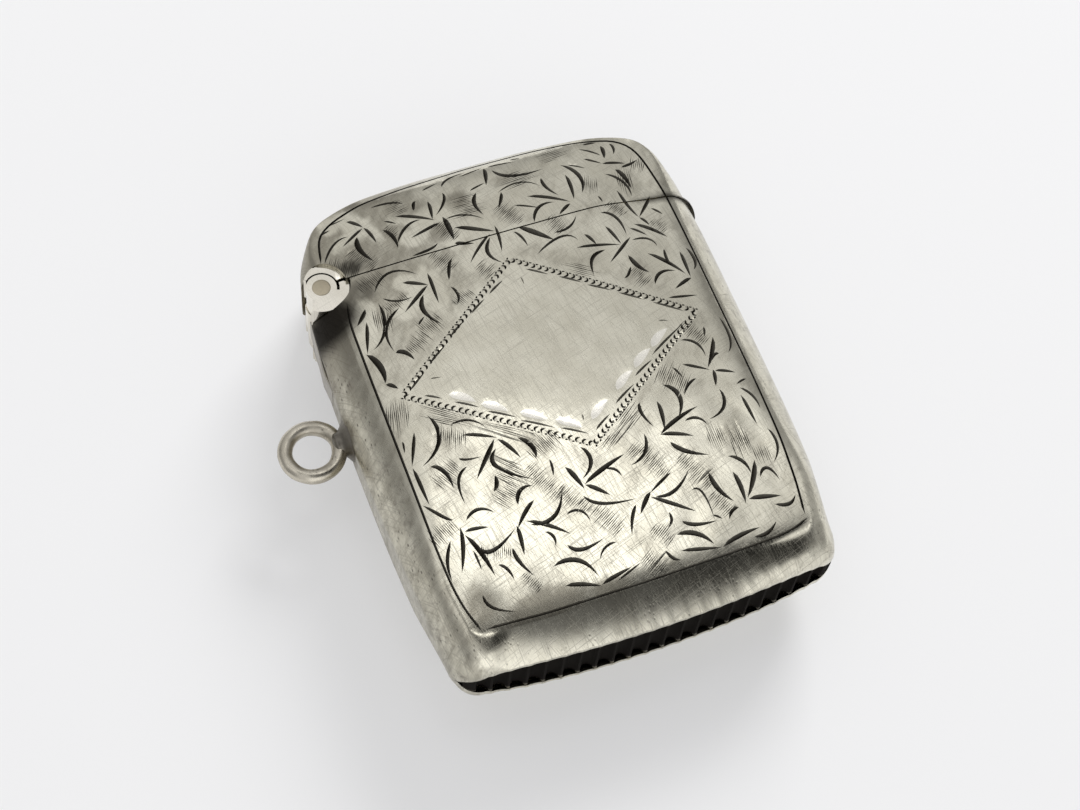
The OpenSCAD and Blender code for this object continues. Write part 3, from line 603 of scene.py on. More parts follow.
def hatchCuts(dice):
    cuts = []
    level, gain = hatch["tone"]
    for cx, cy, along, across, angle, tone in ground:
        along, across = along * hatch["spread"], across * hatch["spread"]
        turn = math.radians(angle)
        steps = int(2 * across / hatch["pitch"])
        for k in range(steps):
            off = (k + 0.5) / steps * 2 - 1
            half = along * math.sqrt(max(1 - hatch["round"] * off * off, 0.05))
            half *= dice.uniform(*hatch["length"])
            shift = dice.uniform(-hatch["shift"], hatch["shift"]) * along
            sway = turn + dice.uniform(-hatch["sway"], hatch["sway"])
            mx = cx - math.sin(turn) * off * across + math.cos(turn) * shift
            my = cy + math.cos(turn) * off * across + math.sin(turn) * shift
            dx, dy = math.cos(sway) * half, math.sin(sway) * half
            width = hatch["width"] * dice.uniform(*hatch["weight"])
            spots = [onLid(mx + n * dx, my + n * dy) for n in (-1, 0, 1)]
            cuts.append(makeCut(spots, width, level + gain * tone, hatch["slope"], lean=0.5))
    return cuts


def allCuts():
    dice = random.Random(19)
    cuts = leafCuts(dice) + ropeCuts(dice)
    cuts += [straightCut(ends, 7, diamond["dash"], diamond["dashDark"]) for ends in diamond["dashes"]]
    cuts += [thumbnailCut(x, y) for x, y in diamond["thumbnails"]]
    cuts += [straightCut(ends, 5, diamond["tick"], diamond["tickDark"]) for ends in diamond["ticks"]]
    cuts += [borderCut(run) for run in border["runs"]]
    return cuts + hatchCuts(dice)


class CutFinder:
    def __init__(self, cuts, cell=0.6):
        self.cell = cell
        self.boxes = {}
        for cut in cuts:
            x0, y0, x1, y1 = (math.floor(v / cell) for v in cut["box"])
            for i in range(x0, x1 + 1):
                for j in range(y0, y1 + 1):
                    self.boxes.setdefault((i, j), []).append(cut)

    # depth and tone of the deepest cut at a place
    def at(self, x, y, spare=0.0):
        best, tone = 0.0, 0.0
        for cut in self.boxes.get((math.floor(x / self.cell), math.floor(y / self.cell)), ()):
            x0, y0, x1, y1 = cut["box"]
            if not (x0 <= x <= x1 and y0 <= y <= y1):
                continue
            points, widths = cut["points"], cut["widths"]
            for k in range(len(points) - 1):
                ax, ay = points[k]
                bx, by = points[k + 1]
                dx, dy = bx - ax, by - ay
                size = dx * dx + dy * dy
                t = ((x - ax) * dx + (y - ay) * dy) / size
                if t < -graver["overrun"] or t > 1 + graver["overrun"]:
                    continue
                t = min(max(t, 0.0), 1.0)
                width = mixed(widths[k], widths[k + 1], t)
                side = ((y - ay) * dx - (x - ax) * dy) / math.sqrt(size)
                share = (cut["lean"] if side > 0 else 1 - cut["lean"]) * width + spare
                if share <= 1e-6 or abs(side) >= share:
                    continue
                depth = cut["slope"] * (width + spare) * (1 - abs(side) / share)
                if depth > best:
                    # the lit wall takes litTone: painted light on one wall of the cut, painted shade on the
                    # other
                    best, tone = depth, cut["dark"] * (graver["litTone"] if side * cut["lit"] > 0 else 1.0)
        return best, tone


def railsOf(cut):
    points, widths = cut["points"], cut["widths"]
    left, right = [], []
    for k in range(1, len(points) - 1):
        px, py = points[k - 1]
        qx, qy = points[k + 1]
        size = math.hypot(qx - px, qy - py)
        nx, ny = -(qy - py) / size, (qx - px) / size
        x, y = points[k]
        w = widths[k]
        left.append((x + nx * w * cut["lean"], y + ny * w * cut["lean"]))
        right.append((x - nx * w * (1 - cut["lean"]), y - ny * w * (1 - cut["lean"])))
    return left, right


# tone of the strongest patch at a place
def toneAt(x, y, patches, spread):
    best = 0.0
    for cx, cy, along, across, angle, tone in patches:
        c, s = math.cos(math.radians(angle)), math.sin(math.radians(angle))
        u = ((x - cx) * c + (y - cy) * s) / (along * spread)
        v = ((y - cy) * c - (x - cx) * s) / (across * spread)
        best = max(best, tone * (1 - smooth(*dull["patchFade"], math.hypot(u, v))))
    return best


# straight cuts are the veins of the leaves, and the leaves stay bright round them
vein = {"shortest": 1.2, "steps": 8, "far": 2.0}


class VeinFinder:
    def __init__(self, cell=1.2):
        self.cell = cell
        self.boxes = {}
        for mark in leafMarks:
            if len(mark) > 5:
                continue
            a, b = onLid(*mark[:2]), onLid(*mark[2:4])
            if math.dist(a, b) < vein["shortest"]:
                continue
            spots = set()
            for k in range(vein["steps"] + 1):
                i, j = (math.floor(mixed(a[n], b[n], k / vein["steps"]) / cell) for n in (0, 1))
                spots |= {(i + di, j + dj) for di in (-1, 0, 1) for dj in (-1, 0, 1)}
            for spot in spots:
                self.boxes.setdefault(spot, []).append((Vector(a), Vector(b)))

    def away(self, x, y):
        best = vein["far"]
        for a, b in self.boxes.get((math.floor(x / self.cell), math.floor(y / self.cell)), ()):
            along = b - a
            t = min(max((Vector((x, y)) - a).dot(along) / along.length_squared, 0.0), 1.0)
            best = min(best, (a + along * t - Vector((x, y))).length)
        return best


veins = VeinFinder()


# 1 on the edge of the diamond and less inside it
def fromDiamond(x, y):
    halfX, halfY = diamond["half"]
    return abs(x) / halfX + abs(y - diamond["middle"]) / halfY


# how dull the ground is between the leaves, from the hinge to the thumb side and from the base up
dull = {"lid": (0.68, 0.33), "lidAcross": (-11.0, 0.0), "body": (0.32, 0.4), "bodyUp": (-12.0, -5.0),
        "toLid": (4.0, 14.0), "leaf": (0.45, 1.0), "plain": (0.98, 1.1), "hatch": 0.35, "hatchSpread": 1.5,
        "stain": (1.2, 0.9), "stainAcross": (-6.0, 4.0), "patchFade": (0.3, 1.3), "least": 0.12}


def hazeAt(x, y):
    lined = dull["hatch"] * toneAt(x, y, ground, dull["hatchSpread"])
    # these stains include painted shade along the bottom and lower left, stronger towards the left
    stain = toneAt(x, y, toningAndShade, 1.0) * mixed(*dull["stain"], smooth(*dull["stainAcross"], x))
    plain = smooth(*dull["plain"], fromDiamond(x, y))
    upper = mixed(*dull["lid"], smooth(*dull["lidAcross"], x))
    lower = mixed(*dull["body"], smooth(*dull["bodyUp"], y))
    between = mixed(lower, upper, smooth(*dull["toLid"], y)) * smooth(*dull["leaf"], veins.away(x, y))
    return max(lined, stain, dull["least"] * plain, between * plain)


# the worked ground is never quite level, only the diamond is
def rippleAt(x, y):
    inside = 1.0
    for key, reach in (("side", abs(x)), ("low", -y), ("top", y)):
        inside *= 1 - smooth(*ripple[key], reach)
    wave = 0.5 + 0.5 * noise.noise(Vector((x * ripple["pitch"], y * ripple["pitch"], ripple["layer"])))
    return ripple["depth"] * wave * inside * smooth(*ripple["plain"], fromDiamond(x, y))


# painted shade with some tarnish: black under the hinge and beside its hook, and a painted shadow under the
# lip along the seam: place, half size across and along, darkness
shadeAndTarnish = {"tone": 0.98, "fade": (0.45, 1.15),
          "spots": [(-15.6, 9.5, 3.0, 2.4, 1.0), (-12.7, 13.5, 1.3, 0.9, 0.8), (-12.6, 11.0, 1.5, 1.3, 0.5),
                    (14.6, 12.66, 3.4, 0.42, 0.85)]}


def shadeAndTarnishAt(x, y):
    return max(dark * (1 - smooth(*shadeAndTarnish["fade"], math.hypot((x - cx) / across, (y - cy) / along)))
               for cx, cy, across, along, dark in shadeAndTarnish["spots"])


# plan of the body between panel and outer edge: f runs from the panel (0) to the edge (1)
bodyPlan = {"side": 56, "corner": 10, "base": 150,
            "panelCorner": (12.85, -18.5, 1.2), "edgeCorner": (13.9, -19.8, 2.22),
            "panelSide": (14.78, 0.73, 10, 8.5), "panelLow": (-19.97, 0.3, 12), "baseFrom": (-13.5, -19.0),
            "notchFrom": 11.0}
lidPlan = {"count": 150, "panelSide": 14.95, "panelTop": (20.72, 0.0072), "panelCorner": (11.5, 16.4, 3.3),
           "margin": 0.36, "turns": 720, "panelEase": 14, "edgeEase": 9, "reach": (4.0, 24.0, 34),
           "hingeTurns": (150, 179.9, 40)}


def fromHinge(x, y):
    hx, hy = case["hinge"]
    return math.hypot(x - hx, y - hy)


# the last value between two for which a test holds
def lastWhere(test, low, high, rounds):
    for _ in range(rounds):
        middle = (low + high) / 2
        if test(middle):
            low = middle
        else:
            high = middle
    return low


def panelSide(y):
    wide, narrowing, start, span = bodyPlan["panelSide"]
    return wide - (narrowing * ((-y - start) / span) ** 2 if y < -start else 0.0)


def panelLow(x):
    low, lift, span = bodyPlan["panelLow"]
    return low + lift * (x / span) ** 4


def nick(x, depth):
    off = abs((x / rim["pitch"] + 0.5) % 1.0 - 0.5) * 2
    ends = 1 - smooth(*rim["nickEnds"], abs(x))
    return depth * ends * math.sqrt(max(1 - (off / rim["nickShare"]) ** 2, 0.0))


def bodyStations():
    runs = [("right", "side"), ("cornerRight", "corner"), ("base", "base"), ("cornerLeft", "corner"),
            ("left", "side")]
    made = [(part, k / bodyPlan[key]) for part, key in runs for k in range(bodyPlan[key])]
    return made + [("left", 1.0)]


# place in plan, and how much the place belongs to the base
def bodyPlace(station, f, inset, nickDepth):
    part, s = station
    px, py, pr = bodyPlan["panelCorner"]
    ex, ey, er = bodyPlan["edgeCorner"]
    if part in ("right", "left"):
        low = mixed(py, ey, f)
        hx, hy = case["hinge"]
        if part == "right":
            y = mixed(case["bodyEdge"], low, s)
        else:
            top = bodyPlan["notchFrom"]
            for _ in range(4):
                x = -mixed(panelSide(top), sideX(top) - inset, f)
                top = hy - math.sqrt(case["bodyNotch"] ** 2 - (x - hx) ** 2)
            y = mixed(low, top, s)
        baseness = smooth(*bodyPlan["baseFrom"], y)
        x = mixed(panelSide(y), sideX(y) - inset * (1 - baseness), f)
        return (x if part == "right" else -x), y, baseness
    if part == "base":
        x = mixed(mixed(px, ex, f), -mixed(px, ex, f), s)
        panelY = panelLow(mixed(px, -px, s))
        xEdge = mixed(ex, -ex, s)
        return x, mixed(panelY, baseY(xEdge) + nick(xEdge, nickDepth) * f, f), 1.0
    turn = math.radians(-90 * s) if part == "cornerRight" else math.radians(-90 - 90 * s)
    flip = 1 if part == "cornerRight" else -1
    panelDrop = (py - panelLow(px)) / pr
    edgeDrop = (ey - baseY(ex)) / er
    innerX = px + (panelSide(py) - px) * abs(math.cos(turn))
    innerY = py + pr * math.sin(turn) * panelDrop
    outerX = ex + (sideX(ey) - ex) * abs(math.cos(turn))
    outerY = ey + er * math.sin(turn) * edgeDrop
    return flip * mixed(innerX, outerX, f), mixed(innerY, outerY, f), 1.0


def bodyHeights(station, f, x, y, baseness, inset):
    edge = bodyPlace(station, 1.0, inset, 0.0)
    start = bodyPlace(station, 0.0, inset, 0.0)
    rimEdge = max(lens(edge[0]) - (rim["edge"] if inset else 0.0), 0.0)
    sideH = height(x, y, inset)
    top = height(start[0], start[1], inset)
    part, s = station
    first, last = rim["share"]
    share = smooth(0.0, first, s) * smooth(0.0, last, 1 - s) if part == "base" else 0.0
    n = rim["cornerBulge"]
    rounded = max(1 - f ** n, 0.0) ** (1 / n)
    sloped = 1 - rim["bend"] * f - (1 - rim["bend"]) * f * f
    baseH = rimEdge + (top - rimEdge) * mixed(rounded, sloped, share)
    foot = max(rimEdge - (rim["inner"] if inset else rim["round"]), 0.0)
    return mixed(sideH, baseH, baseness), foot * baseness


def inCorner(x, y, corner, inset):
    cx, cy, cr = corner
    return x < cx or y < cy or math.hypot(x - cx, y - cy) < cr - inset


def inLid(x, y, inset):
    return (x < sideX(y) - inset and y < topY(min(x, 30.0)) - inset
            and inCorner(x, y, case["topCorner"], inset))


def inLidPanel(x, y):
    top, fall = lidPlan["panelTop"]
    return (x < lidPlan["panelSide"] and y < top - fall * x * x
            and inCorner(x, y, lidPlan["panelCorner"], 0.0))


# reach of the lid from the middle of its mouth, in a direction
def reachOf(turn, test):
    c, s = abs(math.cos(turn)), math.sin(turn)
    return lastWhere(lambda r: test(r * c, case["lidEdge"] + r * s), *lidPlan["reach"])


def lidReach(turn, inset):
    return reachOf(turn, lambda x, y: inLid(x, y, inset))


def lidPanelReach(turn):
    return min(reachOf(turn, inLidPanel), lidReach(turn, 0.0) - lidPlan["margin"])


# reach tables, eased so that the corners stay smooth
def easedTable(reach, spread):
    count = lidPlan["turns"]
    raw = [reach(math.pi * k / count) for k in range(count + 1)]
    eased = []
    for k in range(count + 1):
        w = min(spread, k, count - k)
        eased.append(sum(raw[k - w:k + w + 1]) / (2 * w + 1))
    return eased


def fromTable(table, turn):
    v = min(max(turn / math.pi, 0.0), 1.0) * (len(table) - 1)
    k = min(int(v), len(table) - 2)
    return mixed(table[k], table[k + 1], v - k)


lidTables = {"panel": easedTable(lidPanelReach, lidPlan["panelEase"])}
for lidInset in (0.0, case["wall"]):
    lidTables[lidInset] = easedTable(lambda turn: lidReach(turn, lidInset), lidPlan["edgeEase"])


def lidPlaceAt(turn, f, inset):
    r = mixed(fromTable(lidTables["panel"], turn), fromTable(lidTables[inset], turn), f)
    return r * math.cos(turn), case["lidEdge"] + r * math.sin(turn)


lidEnds = {}


# where a row of the lid meets the hinge
def lidEnd(f, inset):
    key = (round(f, 5), inset)
    if key not in lidEnds:
        low, high, rounds = lidPlan["hingeTurns"]
        lidEnds[key] = lastWhere(lambda turn: fromHinge(*lidPlaceAt(turn, f, inset)) > case["lidNotch"],
                                 math.radians(low), math.radians(high), rounds)
    return lidEnds[key]


def lidStations():
    return [k / lidPlan["count"] for k in range(lidPlan["count"] + 1)]


# tarnish round the soldered ring, and painted shade all along the hinge side, more towards the hinge
sideTarnishAndShade = {"from": 14, "right": 0.3, "ring": 0.9, "ringY": 0.9, "ringFade": (1.4, 3.4),
               "left": (0.46, 0.86), "leftFade": (0.0, 9.0)}


def sideHazeAndShade(spot):
    if spot.x > -sideTarnishAndShade["from"]:
        return sideTarnishAndShade["right"] if spot.x > sideTarnishAndShade["from"] else 0.0
    away = math.hypot(spot.y - sideTarnishAndShade["ringY"], spot.z - case["mid"])
    around = sideTarnishAndShade["ring"] * (1 - smooth(*sideTarnishAndShade["ringFade"], away))
    return max(around, mixed(*sideTarnishAndShade["left"], smooth(*sideTarnishAndShade["leftFade"], spot.y)))


def inPolygon(outline, x, y):
    inside = False
    j = len(outline) - 1
    for i, (xi, yi) in enumerate(outline):
        xj, yj = outline[j]
        if (yi > y) != (yj > y) and x < (xj - xi) * (y - yi) / (yj - yi) + xi:
            inside = not inside
        j = i
    return inside


def insidePanel(x, y, zone, step):
    margin = sheetPlan["margin"] * step
    if zone == "body":
        if abs(x) > panelSide(y) - margin or y < panelLow(abs(x)) + margin:
            return False
        px, py, pr = bodyPlan["panelCorner"]
        return not (abs(x) > px and y < py and math.hypot(abs(x) - px, y - py) > pr - margin)
    turn = math.atan2(y - case["lidEdge"], x)
    return math.hypot(x, y - case["lidEdge"]) < fromTable(lidTables["panel"], turn) - margin


# how a sheet is divided, and where its inside stops short of the table
sheetPlan = {"notchSteps": 14, "seamSteps": 60, "grid": 1.2, "half": 17, "clear": 0.15, "margin": 0.3,
             "slack": 0.01, "insideLevel": 0.45,
             "band": [0.0, 0.04, 0.08] + [math.sin(math.pi / 2 * k / 9) for k in range(1, 10)]}
# wear on the rolled band and edges; the higher hinge-side value also paints shade there
wear = {"panel": 0.35, "left": 1.4, "right": 0.9, "edge": 1.0, "fade": (0.1, 0.5), "base": 0.6,
        "baseEnds": (11.0, 13.5)}


def pastSeam(y, zone, clear=0.0):
    edge = case[zone + "Edge"]
    return y > edge - clear if zone == "body" else y < edge + clear


# the rest of the panel's outline: the notch at the hinge and the seam
def notchAndSeam(panelEdge, zone):
    edge, notch = case[zone + "Edge"], case[zone + "Notch"]
    hx, hy = case["hinge"]
    endX, endY = panelEdge[-1]
    first = math.atan2(endY - hy, endX - hx)
    last = math.atan2(edge - hy, math.sqrt(notch ** 2 - (edge - hy) ** 2))
    arcSteps, seamSteps = sheetPlan["notchSteps"], sheetPlan["seamSteps"]
    turns = [mixed(first, last, k / arcSteps) for k in range(1, arcSteps + 1)]
    arc = [(hx + notch * math.cos(turn), hy + notch * math.sin(turn)) for turn in turns]
    return arc, [(mixed(arc[-1][0], panelEdge[0][0], k / seamSteps), edge) for k in range(1, seamSteps)]


# every cut has its bottom line and two rails in the mesh
def addCutLines(flat, links, cuts):
    for cut in cuts:
        points = cut["points"]
        base = len(flat)
        flat += [Vector(p) for p in points]
        links += [(base + k, base + k + 1) for k in range(len(points) - 1)]
        for rail in railsOf(cut):
            first = len(flat)
            flat += [Vector(p) for p in rail]
            chain = [base, *range(first, first + len(rail)), base + len(points) - 1]
            links += list(zip(chain, chain[1:]))


# even points of the panel, clear of its outline and of the cuts
def evenPoints(zone, low, high, step, finder):
    clear = sheetPlan["clear"]
    columns = round(sheetPlan["half"] / step)
    spots = []
    for i in range(-columns, columns + 1):
        for j in range(round(low / step), round(high / step) + 1):
            x, y = (i + (0.5 if j % 2 else 0.0)) * step, j * step
            if pastSeam(y, zone, clear) or fromHinge(x, y) < case[zone + "Notch"] + clear:
                continue
            if insidePanel(x, y, zone, step) and finder.at(x, y, graver["clear"])[0] <= 0:
                spots.append(Vector((x, y)))
    return spots


# one side of the sheet: the panel, the rolled band round it and the straight edge
def sheet(bm, layers, zone, side, inset, cuts):
    body = zone == "body"
    stations = bodyStations() if body else lidStations()
    nickDepth = rim["frontNick"] if side > 0 else rim["backNick"]

    def place(station, f):
        if body:
            return bodyPlace(station, f, inset, nickDepth)
        return (*lidPlaceAt(station * lidEnd(f, inset), f, inset), 0.0)

    def lift(h):
        return max(case["mid"] + side * h, sheetPlan["insideLevel"] if inset else 0.0)

    panelEdge = [place(s, 0.0)[:2] for s in stations]
    arc, seam = notchAndSeam(panelEdge, zone)
    outline = panelEdge + arc + seam
    low, high = min(p[1] for p in outline), max(p[1] for p in outline)
    mine = [c for c in cuts if c["box"][3] > low and c["box"][1] < high]
    finder = CutFinder(mine)
    flat = [Vector(p) for p in outline]
    links = [(k, (k + 1) % len(outline)) for k in range(len(outline))]
    addCutLines(flat, links, mine)
    flat += evenPoints(zone, low, high, graver["grid"] if mine else sheetPlan["grid"], finder)
    verts2d, _, faces2d, origins, _, _ = delaunay_2d_cdt(flat, links, [], 0, 1e-4)
    home = {source: k for k, sources in enumerate(origins) for source in sources}
    outer = {home[k] for k in range(len(outline))}
    made, depths = {}, {}

    def panelVert(k):
        if k not in made:
            x, y = verts2d[k]
            depths[k] = finder.at(x, y)[0]
            depth = depths[k] + (rippleAt(x, y) if mine else 0.0)
            made[k] = bm.verts.new((x, y, lift(height(x, y, inset)) - side * depth))
            if mine:
                made[k][layers["haze"]] = hazeAt(x, y)
            else:
                made[k][layers["worn"]] = wear["panel"]
        return made[k]

    for tri in faces2d:
        cx, cy = (sum(verts2d[k][n] for k in tri) / 3 for n in (0, 1))
        if pastSeam(cy, zone) or fromHinge(cx, cy) < case[zone + "Notch"] - sheetPlan["slack"]:
            continue
        if all(k in outer for k in tri) and not inPolygon(panelEdge + arc, cx, cy):
            continue
        face = bm.faces.new([panelVert(k) for k in tri])
        depth, dark = finder.at(cx, cy)
        if depth > 0:
            for loop, k in zip(face.loops, tri):
                filled = min(depths[k] / graver["fullDepth"], 1.0)
                loop[layers["cut"]] = dark * (graver["rim"] + (1 - graver["rim"]) * filled)

    rows = [[made[home[k]] for k in range(len(panelEdge))]]

    def addRow(spots):
        rows.append([bm.verts.new(spot[:3]) for spot in spots])
        for vert, spot in zip(rows[-1], spots):
            vert[layers["worn"]] = spot[3]
            vert[layers["haze"]] = sideHazeAndShade(vert.co)

    # the rolled band, then the wall down to the middle
    for f in sheetPlan["band"][1:]:
        spots = []
        for s in stations:
            x, y, baseness = place(s, f)
            h = bodyHeights(s, f, x, y, baseness, inset)[0] if body else height(x, y, inset)
            ex, ey, eb = place(s, 1.0)
            if eb < 1:
                over = height(ex, ey, inset) - case["wallTop"]
                h -= (over + math.hypot(over, case["wallEase"])) / 2 * f ** 3 * (1 - eb)
            # the hinge side's flank takes more wear and painted shade
            flank = wear["left" if x < -sideTarnishAndShade["from"] else "right"]
            worn = mixed(wear["panel"], flank, smooth(*wear["fade"], f))
            worn *= 1 - wear["base"] * baseness * (1 - smooth(*wear["baseEnds"], abs(x)))
            spots.append((x, y, lift(h), worn))
        addRow(spots)
    brink = rows[-1]
    for drop in (0.5, 1.0):
        spots = []
        for s, above in zip(stations, brink):
            x, y, baseness = place(s, 1.0)
            floor = bodyHeights(s, 1.0, x, y, baseness, inset)[1] if body else 0.0
            if body and s[0] == "left":
                slotted = smooth(case["slotFrom"] - case["slotEase"], case["slotFrom"] + case["slotEase"], y)
                floor = max(floor, case["slotHalf"] * slotted)
            spots.append((x, y, mixed(above.co.z, case["mid"] + side * floor, drop), wear["edge"]))
        addRow(spots)
    for upper, lower in zip(rows, rows[1:]):
        for k in range(len(stations) - 1):
            bm.faces.new((upper[k], upper[k + 1], lower[k + 1], lower[k]))
    alongX = sorted(made, key=lambda k: verts2d[k][0])
    seamRun = [made[k] for k in alongX if abs(verts2d[k][1] - case[zone + "Edge"]) < 1e-3]
    arcRun = [made[home[len(panelEdge) + k]] for k in range(len(arc))]
    return {"bottom": rows[-1],
            "notch": [r[-1] for r in reversed(rows)] + arcRun,
            "seam": seamRun + [r[0] for r in rows[1:]]}


# strip of faces between two runs of vertices
def zip2(bm, runA, runB):
    def marks(run):
        at = [0.0]
        for a, b in zip(run, run[1:]):
            at.append(at[-1] + (b.co - a.co).length)
        return [v / at[-1] for v in at]

    ta, tb = marks(runA), marks(runB)
    i = j = 0
    made = []
    while i < len(runA) - 1 or j < len(runB) - 1:
        if j == len(runB) - 1 or (i < len(runA) - 1 and ta[i + 1] <= tb[j + 1]):
            made.append(bm.faces.new((runA[i], runA[i + 1], runB[j])))
            i += 1
        else:
            made.append(bm.faces.new((runA[i], runB[j + 1], runB[j])))
            j += 1
    return made


shells = {
    "bodyFrontShell": ("body", 1, "engraved_silver", "body_front"),
    "bodyBackShell": ("body", -1, "worn_silver", "body_back"),
    "lidFrontShell": ("lid", 1, "engraved_silver", "lid_front"),
    "lidBackShell": ("lid", -1, "worn_silver", "lid_back"),
}
notchShade = {"body": 0.85, "lid": 0.2}  # the notch wall against the hinge, painted dark: painted shade in the gap


def shell(name, cuts):
    zone, side, slotName, node = shells[name]
    bm = bmesh.new()
    layers = {key: bm.verts.layers.float.new(key) for key in ("haze", "worn")}
    layers["cut"] = bm.loops.layers.float.new("cut")
    outside = sheet(bm, layers, zone, side, 0.0, cuts)
    if cuts:
        for loop in (corner for face in bm.faces for corner in face.loops):
            # painted shade and tarnish at the hinge and under the lip go into the cut colour
            dark = shadeAndTarnish["tone"] * shadeAndTarnishAt(loop.vert.co.x, loop.vert.co.y)
            if dark > 0:
                loop[layers["cut"]] = max(loop[layers["cut"]], dark)
    inside = sheet(bm, layers, zone, side, case["wall"], [])
    for run in ("bottom", "notch", "seam"):
        for face in zip2(bm, outside[run], inside[run]):
            for loop in face.loops:
                loop[layers["cut"]] = notchShade[zone] if run == "notch" else 0.0
    for v in bm.verts:
        v.co.y -= seamDip(v.co.x, v.co.y)
    newObject(name, bm, zone, slotName, [node], 24)


engraving = allCuts()
print("engraving has", len(engraving), "cuts")
for shellName in shells:
    shell(shellName, engraving if "Front" in shellName else [])


# faces between closed rows of vertices: capped at both ends, or looped back to the first row
def skin(bm, rows, looped=False):
    for a, b in zip(rows, rows[1:] + rows[:1] if looped else rows[1:]):
        for k in range(len(a)):
            n = (k + 1) % len(a)
            bm.faces.new((a[k], a[n], b[n], b[k]))
    if not looped:
        bm.faces.new(rows[0])
        bm.faces.new(list(reversed(rows[-1])))


def roundAngles(count):
    return [2 * math.pi * k / count for k in range(count)]


# grooved striking base, set between the rims
striker = {"recess": 0.1, "depth": 0.55, "width": 1.12, "fit": 0.24, "least": 0.12, "inner": -21.15,
           "rows": 11, "perGroove": 14, "half": 15.4, "grooved": (14.2, 14.6), "back": 0.75, "thinnest": 0.1,
           "wobble": 0.05, "rubbedAndLit": (-0.8, -0.96), "crest": 0.2}


def rimY(x):
    ex, ey, _ = bodyPlan["edgeCorner"]
    over = max(abs(x) - ex, 0.0) / (sideX(ey) - ex)
    return baseY(x) if over == 0 else ey - (ey - baseY(ex)) * math.sqrt(max(1 - over * over, 0.0))


def strikerPlate():
    bm = bmesh.new()
    crest = bm.verts.layers.float.new("crest")
    count = int(2 * striker["half"] / rim["pitch"] * striker["perGroove"])
    lines = []
    for k in range(count + 1):
        x = striker["half"] * (2 * k / count - 1)
        half = max(lens(x) - striker["fit"], striker["least"])
        off = ((x / rim["pitch"] + 0.5) % 1.0 - 0.5) * rim["pitch"]
        r = striker["width"] / 2
        live = 1 - smooth(*striker["grooved"], abs(x))
        depth = max(math.sqrt(max(r * r - off * off, 0.0)) - (r - striker["depth"]), 0.0) * live
        inner = max(striker["inner"], rimY(x) + striker["back"])
        y = min(rimY(x) + striker["recess"] + depth, inner - striker["thinnest"])
        column = []
        for n in range(striker["rows"]):
            v = -math.cos(math.pi * n / (striker["rows"] - 1))
            wobble = striker["wobble"] * noise.noise(Vector((x * 1.3, v * half * 1.1, 4.0)))
            column.append(bm.verts.new((x, y + wobble * live, case["mid"] + v * half)))
            # crests are painted bright only near the back rim: painted light where they catch it
            column[-1][crest] = (1 - smooth(0.0, striker["crest"], depth)) * smooth(*striker["rubbedAndLit"], v)
        lines.append(column + [bm.verts.new((x, inner, case["mid"] + side * half)) for side in (1, -1)])
    skin(bm, lines)
    newObject("strikerPlate", bm, "body", "sooted_silver", ["striker_base"], 40)


strikerPlate()

# collar in the mouth, a bent strip open at the hinge: height and inset round its own section
collar = {"from": -12.15, "bends": 40, "sideSteps": 6, "floor": 0.62,
          "section": [(9.6, 0.62), (12.42, 0.62), (12.56, 0.78), (14.05, 0.78), (14.2, 0.84), (14.25, 0.93),
                      (14.2, 1.01), (14.05, 1.06), (9.6, 1.06)]}


def mouthCollar():
    bm = bmesh.new()
    bends, sides = collar["bends"], collar["sideSteps"]
    runs = []
    for y, inset in collar["section"]:
        wide = sideX(y) - inset
        xs = [mixed(collar["from"], wide, math.sin(math.pi / 2 * k / bends)) for k in range(bends + 1)]
        front = [(x, height(x, y, inset)) for x in xs]
        top = front[-1][1]
        edge = [(wide, mixed(top, -top, k / sides)) for k in range(1, sides)]
        back = [(x, -h) for x, h in reversed(front)]
        runs.append([bm.verts.new((x, y, max(case["mid"] + h, collar["floor"])))
                     for x, h in front + edge + back])
    skin(bm, list(zip(*runs)))
    newObject("mouthCollarStrip", bm, "body", "inside_silver", ["mouth_collar"], 30)


mouthCollar()

# thumb lip, a crescent ledge drawn out of the lid's edge
lip = {"centre": 12.31, "radius": 5.2, "half": 3.95, "rise": 0.95, "tip": 0.36, "droop": 0.5, "steps": 36,
       "wallY": 13.0, "sunk": 0.22, "least": 0.2, "reach": 0.82, "root": 0.24, "round": 0.05, "spare": 0.01,
       "riseEnds": 0.35, "tipEnds": 0.5,
       # the rows of the lip's underside and tip are painted dark: painted shade under the lip
       "haze": (0.9, 0.9, 1.0, 1.0, 0.9, 0.7, 0.6, 0.5, 0.4),
       "dark": (0.88, 0.88, 0.88, 0.8, 0.5, 0.1, 0, 0, 0)}


